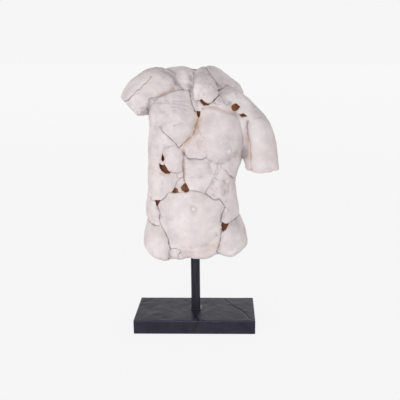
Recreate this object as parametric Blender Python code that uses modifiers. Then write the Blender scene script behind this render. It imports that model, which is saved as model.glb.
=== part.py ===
"""A male torso pieced together from broken plates, held up by a square rod in a slab base.

Metres, +Z up, the chest towards -Y, the origin at the middle of the base's underside.
The figure is drawn in its own millimetres, FIGURE_UNITS of them from its lowest edge to the neck,
and every one of those is scaled by TORSO_HEIGHT. Its zero is near the lowest edge.
"""

import math

import bmesh
import bpy
import numpy as np
from mathutils import Matrix, Vector

# Base, rod and torso: real sizes in metres
BASE_WIDTH = 0.250
BASE_DEPTH = 0.115
BASE_THICKNESS = 0.030
BASE_EDGE = 0.0012
ROD_SIDE = 0.018
ROD_EDGE = 0.0008
ROD_SHOWN = 0.133
ROD_IN_BASE = 0.020
ROD_IN_TORSO = 0.045
ROD_SET_BACK = 0.004
FIT_GAP = 0.0003
TORSO_HEIGHT = 0.381
POCKET_DEPTH = 0.006

# The figure's own units
FIGURE_UNITS = 381.0
UNIT = TORSO_HEIGHT / FIGURE_UNITS
RINGS_ROUND = 96
RING_STEP = 3.0
VOXEL = 1.8
BLEND_PASSES = 5
TORSO_TRIANGLES = 8200

# Height of the figure's zero. The rod enters BELLY_LIFT above it, where the lower edge arches up
BELLY_LIFT = 6.0
FIGURE_ZERO = BASE_THICKNESS + ROD_SHOWN - BELLY_LIFT * UNIT

# Trunk: height, left side, right side, front, back, squareness of the section
TRUNK = (
    (-2, -80, 82, -46, 52, 2.5),
    (1, -90, 91, -53, 60, 2.6),
    (7, -97, 100, -58, 66, 2.8),
    (17, -101, 106, -61, 70, 2.8),
    (30, -102, 107, -62, 72, 2.8),
    (50, -100, 102, -62, 69, 2.7),
    (75, -97, 95, -62, 59, 2.6),
    (100, -98, 90, -61, 50, 2.5),
    (125, -95, 86, -60, 45, 2.4),
    (150, -92, 83, -60, 45, 2.4),
    (175, -91, 88, -60, 48, 2.4),
    (200, -91, 96, -60, 53, 2.4),
    (225, -90, 99, -61, 58, 2.4),
    (250, -87, 99, -62, 62, 2.4),
    (275, -85, 98, -61, 64, 2.4),
    (300, -84, 97, -57, 63, 2.4),
    (320, -83, 97, -51, 60, 2.3),
    (335, -81, 97, -44, 55, 2.2),
    (348, -78, 90, -37, 49, 2.2),
    (360, -74, 77, -31, 42, 2.1),
    (370, -66, 66, -25, 35, 2.0),
    (376, -56, 57, -20, 31, 2.0),
    (379, -34, 46, -14, 26, 2.0),
)
# Arms: place of the centre (x, y, z), half width in the front view, half depth
RAISED_ARM = (
    (-24, 0, 318, 26, 32),
    (-44, 1, 328, 36, 37),
    (-66, 3, 334, 42, 40),
    (-86, 4, 328, 40, 41),
    (-106, 3, 315.5, 36, 38),
    (-119, 2, 288, 28, 32),
)
HANGING_ARM = (
    (44, 0, 314, 36, 34),
    (72, 3, 302, 37, 39),
    (94, 4, 281, 36.5, 41),
    (115, 4, 256, 36.5, 41),
    (127, 4, 229, 35.5, 39),
    (132, 3, 204, 34.5, 37),
    (141, 2, 166, 30, 34),
)
ARM_STEP = 0.02

# Faces of the breaks at the neck and the arms: a point on each, and the way it faces
NECK_BREAKS = (
    ((28, 6, 380), (0.42, -0.62, 0.66)),
    ((-6, -20, 363), (-0.30, -0.66, 0.69)),
)
RAISED_ARM_BREAKS = (
    ((-134, 0, 306), (-0.72, 0.0, -0.69)),
    ((-100, 0, 284), (-0.1, 0.0, -0.99)),
)
HANGING_ARM_BREAKS = (((140, 0, 179), (0.03, 0.08, -1.0)),)

# Underside of the front edge: across the figure, height of the edge
HEM = (
    (-110, 14),
    (-92, 4),
    (-75, -1),
    (-52, -1),
    (-45, 2.5),
    (-24, 3.5),
    (-18, 6.5),
    (5, 5.5),
    (30, 7),
    (50, 13),
    (60, 9),
    (76, 4),
    (92, 8),
    (112, 17),
)
HEM_REACH = 34.0

# Muscles in front: middle (x, z), half sizes, turn in degrees, share that slopes, height
FRONT_PADS = (
    ((-42, 286), (56, 60), -14, 0.75, 6.0),
    ((-36, 258), (44, 30), 20, 0.9, 2.0),
    ((56, 252), (47, 56), -18, 0.60, 10.0),
    ((50, 230), (42, 32), -12, 0.9, 4.5),
    ((-36, 206), (22, 28), 5, 0.8, 4.0),
    ((8, 191), (27, 19), -6, 0.7, 3.0),
    ((10, 160), (24, 17), -8, 0.7, 2.6),
    ((-36, 160), (19, 20), 0, 0.8, 1.5),
    ((-76, 236), (18, 36), 8, 0.9, 2.0),
    ((-80, 160), (20, 34), 0, 0.9, 2.5),
    ((62, 178), (16, 14), -40, 0.8, 3.0),
    ((54, 152), (18, 15), -35, 0.8, 3.0),
    ((76, 140), (16, 22), -10, 0.9, 2.0),
    ((-4, 78), (68, 72), 0, 0.75, 5.0),
    ((-2, 64), (50, 44), 0, 1.0, 3.0),
    ((-80, 36), (36, 48), -8, 0.8, 4.0),
    ((82, 40), (36, 50), 8, 0.8, 5.0),
    ((-84, 100), (20, 30), 0, 0.9, 2.0),
    ((80, 104), (20, 28), 10, 0.9, 2.0),
    ((-78, 345), (26, 20), 30, 0.9, 2.0),
    ((-44, 360), (30, 16), 0, 0.9, 3.0),
    ((-18, 364), (16, 16), 0, 0.8, 3.0),
    ((30, 362), (26, 22), -30, 0.8, 3.0),
    ((126, 232), (26, 44), -12, 0.9, 2.5),
)
FRONT_FURROWS = (
    (((12, 322), (11, 296), (9, 276), (2, 256), (-8, 238), (-16, 222)), 9.0, 4.5),
    (((-16, 222), (-16, 196), (-15, 170), (-10, 145)), 4.0, 2.0),
    (((22, 306), (46, 304), (63, 300), (84, 292), (96, 286)), 4.5, 3.4),
    (((98, 286), (104, 268), (102, 250), (100, 232)), 6.0, 4.0),
    (((-84, 300), (-79, 317), (-64, 321), (-51, 328), (-36, 336), (-22, 342), (-4, 342)), 4.2, 3.6),
    (((26, 206), (44, 198), (64, 200), (84, 214)), 8.0, 2.6),
    (((-18, 176), (30, 172)), 5.0, 1.2),
    (((-58, 178), (-18, 182)), 6.0, 1.6),
    (((30, 198), (44, 176), (36, 154), (26, 142)), 6.0, 2.2),
    (((-60, 200), (-60, 160), (-62, 130)), 8.0, 2.0),
    (((-68, 112), (-66, 80), (-54, 52), (-46, 22), (-46, 4)), 6.0, 3.0),
    (((60, 112), (56, 82), (58, 50), (52, 24), (50, 8)), 6.0, 3.0),
    (((-90, 82), (-68, 72)), 5.0, 1.6),
    (((66, 78), (98, 88)), 5.0, 1.4),
    (((-40, 30), (-12, 29), (14, 29), (36, 37), (48, 50)), 5.0, 1.8),
    (((-58, 371), (-44, 366), (-35, 357), (-27, 347), (-21, 342)), 4.2, 2.6),
    (((-30, 348), (-14, 351), (0, 352)), 7.0, 3.0),
    (((5, 392), (5, 370), (-1, 352)), 7.0, 6.5),
)
NAVEL = ((2, 112), 11.0, 4.0, 3.8, 6.0)

# Muscles behind, in the same way
BACK_PADS = (
    ((-46, 292), (38, 48), 12, 0.6, 7.0),
    ((54, 270), (38, 48), -18, 0.6, 7.0),
    ((-14, 150), (13, 74), 4, 0.8, 4.5),
    ((22, 148), (13, 74), -4, 0.8, 4.5),
    ((-64, 210), (30, 62), 8, 0.8, 4.0),
    ((66, 200), (28, 58), -10, 0.8, 4.0),
    ((-50, 38), (48, 50), 0, 0.6, 9.0),
    ((54, 40), (48, 50), 0, 0.6, 9.0),
)
BACK_FURROWS = (
    (((14, 350), (8, 300), (4, 240), (3, 180), (4, 120), (4, 84)), 9.0, 6.0),
    (((3, 84), (2, 40), (2, -10)), 7.0, 9.0),
    (((-92, 82), (-50, 92), (-14, 74)), 9.0, 3.0),
    (((98, 86), (56, 94), (18, 74)), 9.0, 3.0),
    (((-18, 336), (-28, 290), (-62, 244), (-92, 232)), 8.0, 3.0),
    (((34, 326), (32, 276), (62, 226), (92, 214)), 8.0, 3.0),
)

# Plates of the broken cast: outline, how far it stands proud, its lean across and up
FRONT_PLATES = (
    (((-4, 345), (-2, 330), (4, 306), (8, 297), (11, 284), (6, 265), (-1, 249), (-10, 242), (-18, 236),
      (-26, 231), (-37, 245), (-57, 266), (-120, 266), (-120, 318), (-78, 322), (-57, 326), (-35, 337),
      (-14, 340)),
     0.6, 0.004, 0.0),
    (((15, 296), (24, 306), (46, 304), (63, 300), (84, 292), (103, 286), (105, 262), (102, 240),
      (98, 222), (84, 212), (64, 200), (40, 200), (27, 211), (12, 256), (12, 276)),
     0.8, 0.006, 0.0),
    (((3, 253), (-10, 242), (-18, 236), (-24, 230), (-19, 221), (-10, 211), (7, 209), (24, 208), (27, 212),
      (22, 240), (12, 256)),
     1.5, 0.0, -0.020),
    (((-54, 222), (-43, 230), (-30, 233), (-18, 221), (-15, 207), (-16, 199), (-20, 184), (-30, 181),
      (-41, 181), (-50, 190), (-56, 200), (-56, 214)),
     1.4, -0.010, 0.0),
    (((-15, 207), (8, 207), (26, 207), (50, 196), (48, 191), (41, 178), (37, 161), (28, 150), (24, 141),
      (4, 146), (-7, 146), (-14, 162), (-17, 183)),
     0.9, 0.0, 0.008),
    (((-62, 125), (-54, 132), (-49, 141), (-33, 143), (-8, 145), (4, 146), (12, 144), (24, 140), (36, 131),
      (45, 127), (53, 127), (59, 120), (64, 112), (58, 101), (55, 83), (58, 63), (58, 53), (55, 40),
      (52, 27), (48, -14), (-25, -14), (-21, 19), (-34, 25), (-45, 26), (-52, 51), (-56, 61),
      (-64, 73), (-67, 76), (-66, 95), (-70, 111)),
     1.3, 0.0, -0.004),
    (((-120, 96), (-88, 80), (-80, 73), (-67, 75), (-56, 61), (-52, 51), (-45, 26), (-50, -14), (-120, -14)),
     0.7, 0.0, 0.0),
    (((120, 98), (86, 84), (70, 77), (58, 63), (58, 53), (52, 27), (48, 20), (58, -14), (120, -14)),
     0.9, 0.0, 0.0),
    (((-84, 298), (-80, 318), (-64, 322), (-51, 329), (-41, 334), (-31, 338), (-22, 343), (-27, 347),
      (-35, 357), (-43, 366), (-57, 371), (-60, 400), (-160, 400), (-160, 270)),
     1.2, 0.013, 0.0),
    (((-150, 300), (-121, 317), (-111, 325), (-105, 334), (-99, 336), (-94, 340), (-81, 352), (-76, 360),
      (-70, 372), (-60, 400), (-160, 380)),
     0.9, 0.010, 0.0),
    (((112, 150), (113, 207), (111, 220), (110, 235), (103, 262), (107, 277), (123, 284), (133, 288),
      (190, 320), (190, 150)),
     0.7, 0.0, 0.0),
    (((4, 354), (15, 343), (28, 339), (34, 338), (40, 331), (47, 323), (46, 334), (43, 340), (42, 349),
      (33, 359), (28, 365), (25, 374), (24, 390), (2, 390)),
     5.9, -0.23, -0.242),
    (((25, 379), (28, 365), (33, 359), (43, 348), (58, 342), (66, 345), (76, 342), (93, 344), (92, 352),
      (80, 362), (60, 376), (45, 386), (30, 390)),
     1.6, -0.06, 0.0),
    (((4, 354), (15, 343), (22, 340), (34, 338), (40, 331), (47, 323), (40, 317), (33, 311), (28, 314),
      (22, 318), (13, 321), (6, 324), (2, 336)),
     7.5, 0.20, 0.36),
    (((47, 323), (48, 327), (44, 332), (53, 338), (58, 341), (66, 344), (75, 341), (78, 334), (66, 327),
      (55, 322)),
     2.8, 0.0, -0.22),
    (((47, 323), (55, 322), (66, 327), (78, 334), (84, 325), (72, 312), (48, 310), (40, 314)),
     3.0, -0.08, 0.30),
)
BACK_PLATES = (
    (((-130, 228), (-60, 246), (-20, 222), (6, 244), (8, 330), (-20, 352), (-130, 330)), 1.0, 0.004, 0.0),
    (((94, 204), (66, 196), (30, 214), (6, 244), (12, 300), (60, 330), (94, 320)), 0.5, -0.004, 0.0),
    (((-130, 96), (-70, 108), (-24, 92), (2, 104), (6, 150), (-18, 222), (-60, 246), (-130, 228)),
     0.3, 0.0, 0.0),
    (((-130, -14), (3, -14), (2, 60), (2, 104), (-24, 92), (-70, 108), (-130, 96)), 1.1, 0.0, 0.0),
    (((130, -14), (3, -14), (2, 60), (2, 104), (40, 96), (80, 110), (130, 92)), 0.7, 0.0, 0.0),
)
# Open seams between plates: line, half width, depth
FRONT_SEAMS = (
    (((-4, 345), (-4, 337), (-2, 330), (4, 306), (8, 297)), 1.6, 2.0),
    (((11, 284), (6, 265), (-1, 249), (-10, 242)), 1.6, 1.2),
    (((-57, 266), (-49, 257), (-37, 245), (-26, 231), (-18, 236)), 1.6, 1.8),
    (((-24, 230), (-19, 221), (-10, 211), (7, 209), (24, 208), (27, 212)), 1.9, 2.4),
    (((-18, 221), (-15, 207), (-16, 199), (-20, 184), (-41, 181)), 1.6, 1.5),
    (((-15, 207), (-17, 183), (-14, 162)), 1.7, 1.8),
    (((-24, 170), (-29, 164), (-34, 154)), 1.6, 1.4),
    (((-7, 146), (4, 146), (12, 144), (24, 140), (36, 131), (45, 127), (53, 127), (59, 120), (64, 112),
      (58, 101), (55, 83)), 1.8, 2.2),
    (((58, 63), (58, 53), (55, 40), (52, 27), (48, 20), (48, -14)), 1.8, 2.2),
    (((70, 77), (86, 84), (120, 98)), 1.5, 1.2),
    (((-62, 125), (-54, 132), (-49, 141), (-33, 143), (-8, 145)), 1.7, 1.6),
    (((-70, 111), (-66, 95), (-67, 76), (-56, 61), (-52, 51), (-45, 26), (-34, 25), (-21, 19), (-25, -14)),
     1.8, 2.4),
    (((-45, 26), (-50, -14)), 1.7, 2.0),
    (((-120, 96), (-88, 80), (-80, 73), (-67, 75)), 1.7, 2.0),
    (((-94, 132), (-76, 120)), 1.5, 1.2),
    (((50, 196), (48, 191), (41, 178), (37, 161), (28, 150), (24, 141)), 1.5, 1.2),
    (((-76, 360), (-81, 352), (-94, 340), (-99, 336), (-105, 334), (-111, 325), (-121, 317), (-150, 300)),
     1.7, 2.0),
    (((-26, 338), (-14, 340), (-4, 342)), 1.8, 2.2),
    (((60, 343), (53, 339), (43, 331)), 2.2, 3.0),
    (((107, 277), (103, 265), (104, 252), (110, 235), (111, 220), (113, 207), (112, 150)), 1.8, 2.2),
)
BACK_SEAMS = (
    (((-96, 232), (-60, 246), (-20, 222), (6, 244), (30, 214), (66, 196), (94, 204)), 1.7, 1.8),
    (((6, 244), (8, 330), (-20, 352)), 1.6, 1.6),
    (((-110, 98), (-70, 108), (-24, 92), (2, 104), (40, 96), (80, 110), (110, 98)), 1.7, 1.8),
    (((2, 104), (6, 150), (-18, 222)), 1.6, 1.6),
)
PILLOW_WIDTH = 5.0
PILLOW_SHARE = 0.45

# Gaps where plates are missing, each an outline in the front view
POCKETS = {
    "throat": ((15, 319), (19, 319), (25, 314), (29, 312), (35, 312), (30, 308), (23, 307), (17, 313)),
    "sternum": ((8, 297), (16, 296), (16, 289), (13, 284), (10, 288)),
    "shoulder": ((75, 308), (80, 310), (86, 309), (90, 304), (86, 298), (80, 295), (75, 298), (73, 303)),
    "armpit": ((87, 291), (93, 291), (96, 293), (104, 285), (98, 285), (92, 287)),
    "upper_rib": ((-56, 217), (-53, 212), (-55, 203), (-58, 201), (-61, 206), (-58, 214)),
    "lower_rib": ((-64, 198), (-57, 194), (-55, 196), (-50, 191), (-46, 184), (-41, 181), (-45, 178),
                  (-52, 177), (-59, 181), (-63, 190)),
    "abdomen_small": ((-34, 154), (-30, 151), (-27, 143), (-33, 141), (-40, 142), (-37, 148)),
    "abdomen": ((-15, 162), (-11, 157), (-6, 147), (-8, 143), (-13, 141), (-18, 144), (-22, 149),
                (-24, 153)),
    "left_loin": ((-76, 124), (-62, 125), (-67, 117), (-70, 110), (-74, 117)),
    "right_hip": ((55, 83), (63, 79), (70, 79), (66, 71), (58, 62), (55, 71)),
}

PLASTER = (0.86, 0.82, 0.82)
BLACK_PAINT = (0.045, 0.043, 0.055)


def clear_scene():
    for obj in list(bpy.data.objects):
        bpy.data.objects.remove(obj, do_unlink=True)


def collection(name, shown=True):
    made = bpy.data.collections.new(name)
    made.hide_render = not shown
    bpy.context.scene.collection.children.link(made)
    return made


def material(name, colour, roughness, metallic=0.0):
    made = bpy.data.materials.new(name)
    made.use_nodes = True
    shader = made.node_tree.nodes["Principled BSDF"]
    shader.inputs["Base Color"].default_value = (*colour, 1.0)
    shader.inputs["Roughness"].default_value = roughness
    shader.inputs["Metallic"].default_value = metallic
    return made


def smooth_through(keys, at):
    """A smooth curve through rows of (place, values): cubic pieces whose slopes come from the neighbours."""
    keys = np.asarray(keys, float)
    place, value = keys[:, 0], keys[:, 1:]
    slope = np.gradient(value, place, axis=0)
    i = np.clip(np.searchsorted(place, at) - 1, 0, len(place) - 2)
    step = (place[i + 1] - place[i])[:, None]
    t = np.clip((at - place[i])[:, None] / step, 0, 1)
    return (
        (2 * t**3 - 3 * t**2 + 1) * value[i]
        + (t**3 - 2 * t**2 + t) * step * slope[i]
        + (3 * t**2 - 2 * t**3) * value[i + 1]
        + (t**3 - t**2) * step * slope[i + 1]
    )


def loft(rings):
    """A closed mesh through rings of points, with a flat cap at each end."""
    count, around = rings.shape[:2]
    mesh = bmesh.new()
    rows = [[mesh.verts.new(p * UNIT) for p in ring] for ring in rings]
    for low, high in zip(rows, rows[1:]):
        for k in range(around):
            n = (k + 1) % around
            mesh.faces.new((low[k], low[n], high[n], high[k]))
    mesh.faces.new(rows[0][::-1])
    mesh.faces.new(rows[count - 1])
    bmesh.ops.recalc_face_normals(mesh, faces=mesh.faces)
    return mesh


def trunk_rings():
    """Level sections of the trunk: half a superellipse in front and half behind, from the TRUNK rows."""
    lowest, highest = TRUNK[0][0], TRUNK[-1][0]
    heights = np.append(np.arange(lowest, highest, RING_STEP), highest)
    left, right, front, back, square = smooth_through(TRUNK, heights).T[:, :, None]
    turn = np.linspace(0, 2 * math.pi, RINGS_ROUND, endpoint=False)[None, :]
    across = np.sign(np.cos(turn)) * np.abs(np.cos(turn)) ** (2 / square)
    forward = np.sign(np.sin(turn)) * np.abs(np.sin(turn)) ** (2 / square)
    x = (left + right) / 2 + (right - left) / 2 * across
    y = np.where(forward > 0, back, -front) * forward
    z = np.broadcast_to(heights[:, None], x.shape)
    return np.stack([x, y, z], axis=-1)


def arm_rings(path):
    """Elliptic sections of an arm, square to its centre line, which lies in a plane seen from the front."""
    stations = np.column_stack([np.linspace(0, 1, len(path)), path])
    share = np.arange(0, 1 + ARM_STEP / 2, ARM_STEP)
    rows = smooth_through(stations, share)
    centre, wide, deep = rows[:, :3], rows[:, 3:4, None], rows[:, 4:5, None]
    along = np.gradient(centre, axis=0)
    along /= np.linalg.norm(along, axis=1, keepdims=True)
    side = np.column_stack([along[:, 2], np.zeros(len(share)), -along[:, 0]])
    turn = np.linspace(0, 2 * math.pi, RINGS_ROUND, endpoint=False)[None, :, None]
    depth = np.array([0.0, 1.0, 0.0])
    return centre[:, None] + wide * np.cos(turn) * side[:, None] + deep * np.sin(turn) * depth


def break_off(mesh, point, facing):
    """Cuts the mesh off flat along the plane at point, and closes the cut."""
    every = mesh.verts[:] + mesh.edges[:] + mesh.faces[:]
    place = Vector(point) * UNIT
    across = Vector(facing)
    broken = bmesh.ops.bisect_plane(mesh, geom=every, plane_co=place, plane_no=across, clear_outer=True)
    rim = [e for e in broken["geom_cut"] if isinstance(e, bmesh.types.BMEdge)]
    bmesh.ops.contextual_create(mesh, geom=rim)


def body_form(place):
    """The trunk and both arm stumps fused into one skin of small square faces."""
    trunk = loft(trunk_rings())
    for point, facing in NECK_BREAKS:
        break_off(trunk, point, facing)
    joined = bpy.data.meshes.new("torso_form")
    for path, breaks in ((RAISED_ARM, RAISED_ARM_BREAKS), (HANGING_ARM, HANGING_ARM_BREAKS)):
        arm = loft(arm_rings(path))
        for point, facing in breaks:
            break_off(arm, point, facing)
        arm.to_mesh(joined)
        trunk.from_mesh(joined)
        arm.free()
    trunk.to_mesh(joined)
    trunk.free()
    form = bpy.data.objects.new("torso_form", joined)
    place.objects.link(form)
    skin = form.modifiers.new("fuse", "REMESH")
    skin.mode = "VOXEL"
    skin.voxel_size = VOXEL * UNIT
    blend = form.modifiers.new("blend", "SMOOTH")
    blend.factor = 0.5
    blend.iterations = BLEND_PASSES
    return applied(form)


def applied(obj):
    """The object with its modifiers turned into plain mesh."""
    bpy.context.view_layer.update()
    graph = bpy.context.evaluated_depsgraph_get()
    mesh = bpy.data.meshes.new_from_object(obj.evaluated_get(graph))
    obj.modifiers.clear()
    obj.data = mesh
    return obj


def ease(t):
    t = np.clip(t, 0, 1)
    return t * t * (3 - 2 * t)


def pad(x, z, middle, size, turn, slope):
    """1 over the middle of a turned ellipse, easing to 0 at its rim over the share slope of its radius."""
    c, s = math.cos(math.radians(turn)), math.sin(math.radians(turn))
    u = ((x - middle[0]) * c + (z - middle[1]) * s) / size[0]
    v = ((z - middle[1]) * c - (x - middle[0]) * s) / size[1]
    return ease((1 - np.hypot(u, v)) / slope)


def distance_to(x, z, line):
    """The distance from each point to the nearest stretch of a line of points."""
    nearest = np.full(x.shape, np.inf)
    for (ax, az), (bx, bz) in zip(line, line[1:]):
        dx, dz = bx - ax, bz - az
        t = np.clip(((x - ax) * dx + (z - az) * dz) / (dx * dx + dz * dz), 0, 1)
        nearest = np.minimum(nearest, np.hypot(x - ax - t * dx, z - az - t * dz))
    return nearest


def inside(x, z, outline):
    """Whether each point lies inside a closed outline, by counting the edges to its right."""
    within = np.zeros(x.shape, bool)
    for (ax, az), (bx, bz) in zip(outline, outline[1:] + outline[:1]):
        crossing = (az > z) != (bz > z)
        edge = ax + (z - az) / (bz - az if bz != az else 1) * (bx - ax)
        within ^= crossing & (x < edge)
    return within


def muscles(x, z, pads, furrows):
    height = np.zeros(x.shape)
    for middle, size, turn, slope, rise in pads:
        height += rise * pad(x, z, middle, size, turn, slope)
    for line, width, depth in furrows:
        height -= depth * np.exp(-((distance_to(x, z, line) / width) ** 2))
    return height


def plates(x, z, outlines, seams):
    """Each plate stands a little proud and leans, and its edge rounds down into a narrow open seam."""
    height = np.zeros(x.shape)
    for outline, rise, lean_x, lean_z in outlines:
        middle = np.mean(outline, axis=0)
        tilt = lean_x * (x - middle[0]) + lean_z * (z - middle[1])
        height = np.where(inside(x, z, outline), rise + tilt, height)
    groove = np.zeros(x.shape)
    for line, width, depth in seams:
        away = distance_to(x, z, line)
        slot = np.clip(1 - away / width, 0, 1)
        shoulder = PILLOW_SHARE * np.exp(-((away / PILLOW_WIDTH) ** 2))
        groove = np.maximum(groove, depth * (slot + shoulder))
    return height - groove


def navel(x, z):
    """A shallow dish with a small knob in it."""
    (cx, cz), dish, depth, knob, rise = NAVEL
    r = np.hypot(x - cx, z - cz)
    return rise * np.exp(-((r / knob) ** 2)) - depth * np.exp(-((r / dish) ** 2))


def carve(obj):
    """Moves the skin along its normals by the muscles and plates of the side that it faces."""
    mesh = obj.data
    count = len(mesh.vertices)
    points, normals = np.empty(count * 3, np.float32), np.empty(count * 3, np.float32)
    mesh.vertices.foreach_get("co", points)
    mesh.vertices.foreach_get("normal", normals)
    points = points.reshape(-1, 3).astype(float) / UNIT
    normals = normals.reshape(-1, 3).astype(float)
    x, z = points[:, 0], points[:, 2]
    facing = ease(0.5 - normals[:, 1] * 2.0)
    front = muscles(x, z, FRONT_PADS, FRONT_FURROWS) + navel(x, z)
    front += plates(x, z, FRONT_PLATES, FRONT_SEAMS)
    back = muscles(x, z, BACK_PADS, BACK_FURROWS) + plates(x, z, BACK_PLATES, BACK_SEAMS)
    level = np.clip(1 - normals[:, 2] ** 2, 0, 1) ** 0.5
    rise = (front * facing + back * (1 - facing)) * np.where(normals[:, 2] < 0, level, 1)
    points += normals * rise[:, None]
    hem = smooth_through(HEM, np.clip(x, HEM[0][0], HEM[-1][0]))[:, 0]
    points[:, 2] += hem * (1 - ease(points[:, 2] / HEM_REACH))
    mesh.vertices.foreach_set("co", (points * UNIT).astype(np.float32).ravel())
    mesh.update()


def thin_out(obj):
    """Fewer, larger triangles where the surface is plain."""
    plain = obj.modifiers.new("thin_out", "DECIMATE")
    faces = sum(len(p.vertices) - 2 for p in obj.data.polygons)
    plain.ratio = TORSO_TRIANGLES / faces
    plain.use_collapse_triangulate = True
    return applied(obj)


def cut(obj, cutter, label):
    """Takes the cutter's shape out of the object."""
    modifier = obj.modifiers.new(label, "BOOLEAN")
    modifier.operation = "DIFFERENCE"
    modifier.object = cutter


def as_cutter(obj, helpers):
    obj.hide_render = True
    obj.display_type = "WIRE"
    for home in list(obj.users_collection):
        home.objects.unlink(obj)
    helpers.objects.link(obj)
    return obj


def prism(name, outline, reach, helpers):
    """A flat outline in x and y, drawn as a filled curve and made a solid mesh, reach thick along z."""
    curve = bpy.data.curves.new(name, "CURVE")
    curve.dimensions = "2D"
    curve.fill_mode = "BOTH"
    curve.extrude = reach / 2
    spline = curve.splines.new("POLY")
    spline.points.add(len(outline) - 1)
    for point, (u, v) in zip(spline.points, outline):
        point.co = (u, v, 0, 1)
    spline.use_cyclic_u = True
    drawn = bpy.data.objects.new(name + "_outline", curve)
    helpers.objects.link(drawn)
    bpy.context.view_layer.update()
    graph = bpy.context.evaluated_depsgraph_get()
    mesh = bpy.data.meshes.new_from_object(drawn.evaluated_get(graph))
    bpy.data.objects.remove(drawn)
    return mesh


def pocket_cutter(name, outline, skin, helpers):
    """A prism along Y over a gap's outline, its floor POCKET_DEPTH behind the skin and leaning with it."""
    points = np.array(outline, float) * UNIT
    middle = points.mean(axis=0)
    ahead = Vector((middle[0], -TORSO_HEIGHT, middle[1]))
    hit, at, facing, _ = skin.ray_cast(ahead, Vector((0, 1, 0)))
    if not hit:
        raise ValueError(f"the gap {name} is off the figure")
    reach = POCKET_DEPTH * 4
    mesh = prism("gap_" + name, points - middle, reach, helpers)
    level = max(-facing.y, 0.6)
    lean = Matrix(
        (
            (1, 0, 0, middle[0]),
            (facing.x / level, facing.z / level, -1, at.y + POCKET_DEPTH - reach / 2),
            (0, 1, 0, middle[1]),
            (0, 0, 0, 1),
        )
    )
    whole = bmesh.new()
    whole.from_mesh(mesh)
    whole.transform(lean)
    bmesh.ops.remove_doubles(whole, verts=whole.verts, dist=1e-6)
    bmesh.ops.recalc_face_normals(whole, faces=whole.faces)
    whole.to_mesh(mesh)
    whole.free()
    made = bpy.data.objects.new("gap_" + name, mesh)
    helpers.objects.link(made)
    return as_cutter(made, helpers)


def block(name, size, centre, edge=0.0):
    """A rectangular block with its size applied, and its edges rounded if edge isn't 0."""
    bpy.ops.mesh.primitive_cube_add(size=1)
    made = bpy.context.object
    made.name = name
    made.data.name = name
    made.data.transform(Matrix.Diagonal((*size, 1)))
    made.location = centre
    if edge:
        rounded = made.modifiers.new("edges", "BEVEL")
        rounded.width = edge
        rounded.segments = 2
    return made


def put_in(obj, home):
    for other in list(obj.users_collection):
        other.objects.unlink(obj)
    home.objects.link(obj)


def make_rod(home):
    """The square rod, let into the base below and into the torso above."""
    bottom = BASE_THICKNESS - ROD_IN_BASE + FIT_GAP
    top = BASE_THICKNESS + ROD_SHOWN + ROD_IN_TORSO - FIT_GAP
    rod = block(
        "rod",
        (ROD_SIDE, ROD_SIDE, top - bottom),
        (0, ROD_SET_BACK, (top + bottom) / 2),
        ROD_EDGE,
    )
    put_in(rod, home)
    return rod


def rod_socket(name, bottom, top, helpers):
    """The hole that the rod stands in, wider than the rod by the fit's gap all round."""
    side = ROD_SIDE + 2 * FIT_GAP
    hole = block(name, (side, side, top - bottom), (0, ROD_SET_BACK, (top + bottom) / 2))
    return as_cutter(hole, helpers)


def make_base(home, helpers):
    base = block("base", (BASE_WIDTH, BASE_DEPTH, BASE_THICKNESS), (0, 0, BASE_THICKNESS / 2), BASE_EDGE)
    put_in(base, home)
    floor = BASE_THICKNESS - ROD_IN_BASE
    cut(base, rod_socket("base_socket", floor, BASE_THICKNESS * 2, helpers), "rod socket")
    return base


def make_torso(home, helpers):
    torso = body_form(home)
    torso.name = "torso"
    carve(torso)
    thin_out(torso)
    gaps = [pocket_cutter(name, outline, torso, helpers) for name, outline in POCKETS.items()]
    lift = Matrix.Translation((0, 0, FIGURE_ZERO))
    for gap in gaps:
        gap.data.transform(lift)
        cut(torso, gap, gap.name)
    torso.data.transform(lift)
    roof = BASE_THICKNESS + ROD_SHOWN + ROD_IN_TORSO
    cut(torso, rod_socket("torso_socket", BASE_THICKNESS, roof, helpers), "rod socket")
    return torso


def main():
    clear_scene()
    home = collection("male_torso_sculpture")
    helpers = collection("cutters", shown=False)
    torso = make_torso(home, helpers)
    rod = make_rod(home)
    base = make_base(home, helpers)
    cast = material("white cast plaster", PLASTER, 0.75)
    black = material("black painted", BLACK_PAINT, 0.5)
    for obj, finish in ((torso, cast), (rod, black), (base, black)):
        obj.data.materials.clear()
        obj.data.materials.append(finish)
    torso.data.set_sharp_from_angle(angle=math.radians(35))


main()
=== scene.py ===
# %% [markdown]
# A broken male torso on a rod and a slab
#
# The real object is a decorative sculpture: an off-white cast of a man's torso, made to look like an
# old figure that was pieced together again from its broken plates. A square black rod holds it up,
# and the rod stands in a black slab. This lesson makes its visible surfaces round a imported CAD frame,
# which fixes every size, so the frame is loaded first.

# %% Load the imported frame
import math

import bmesh
import bpy
import numpy as np
from mathutils import Matrix, Vector
from mathutils.bvhtree import BVHTree


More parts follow.
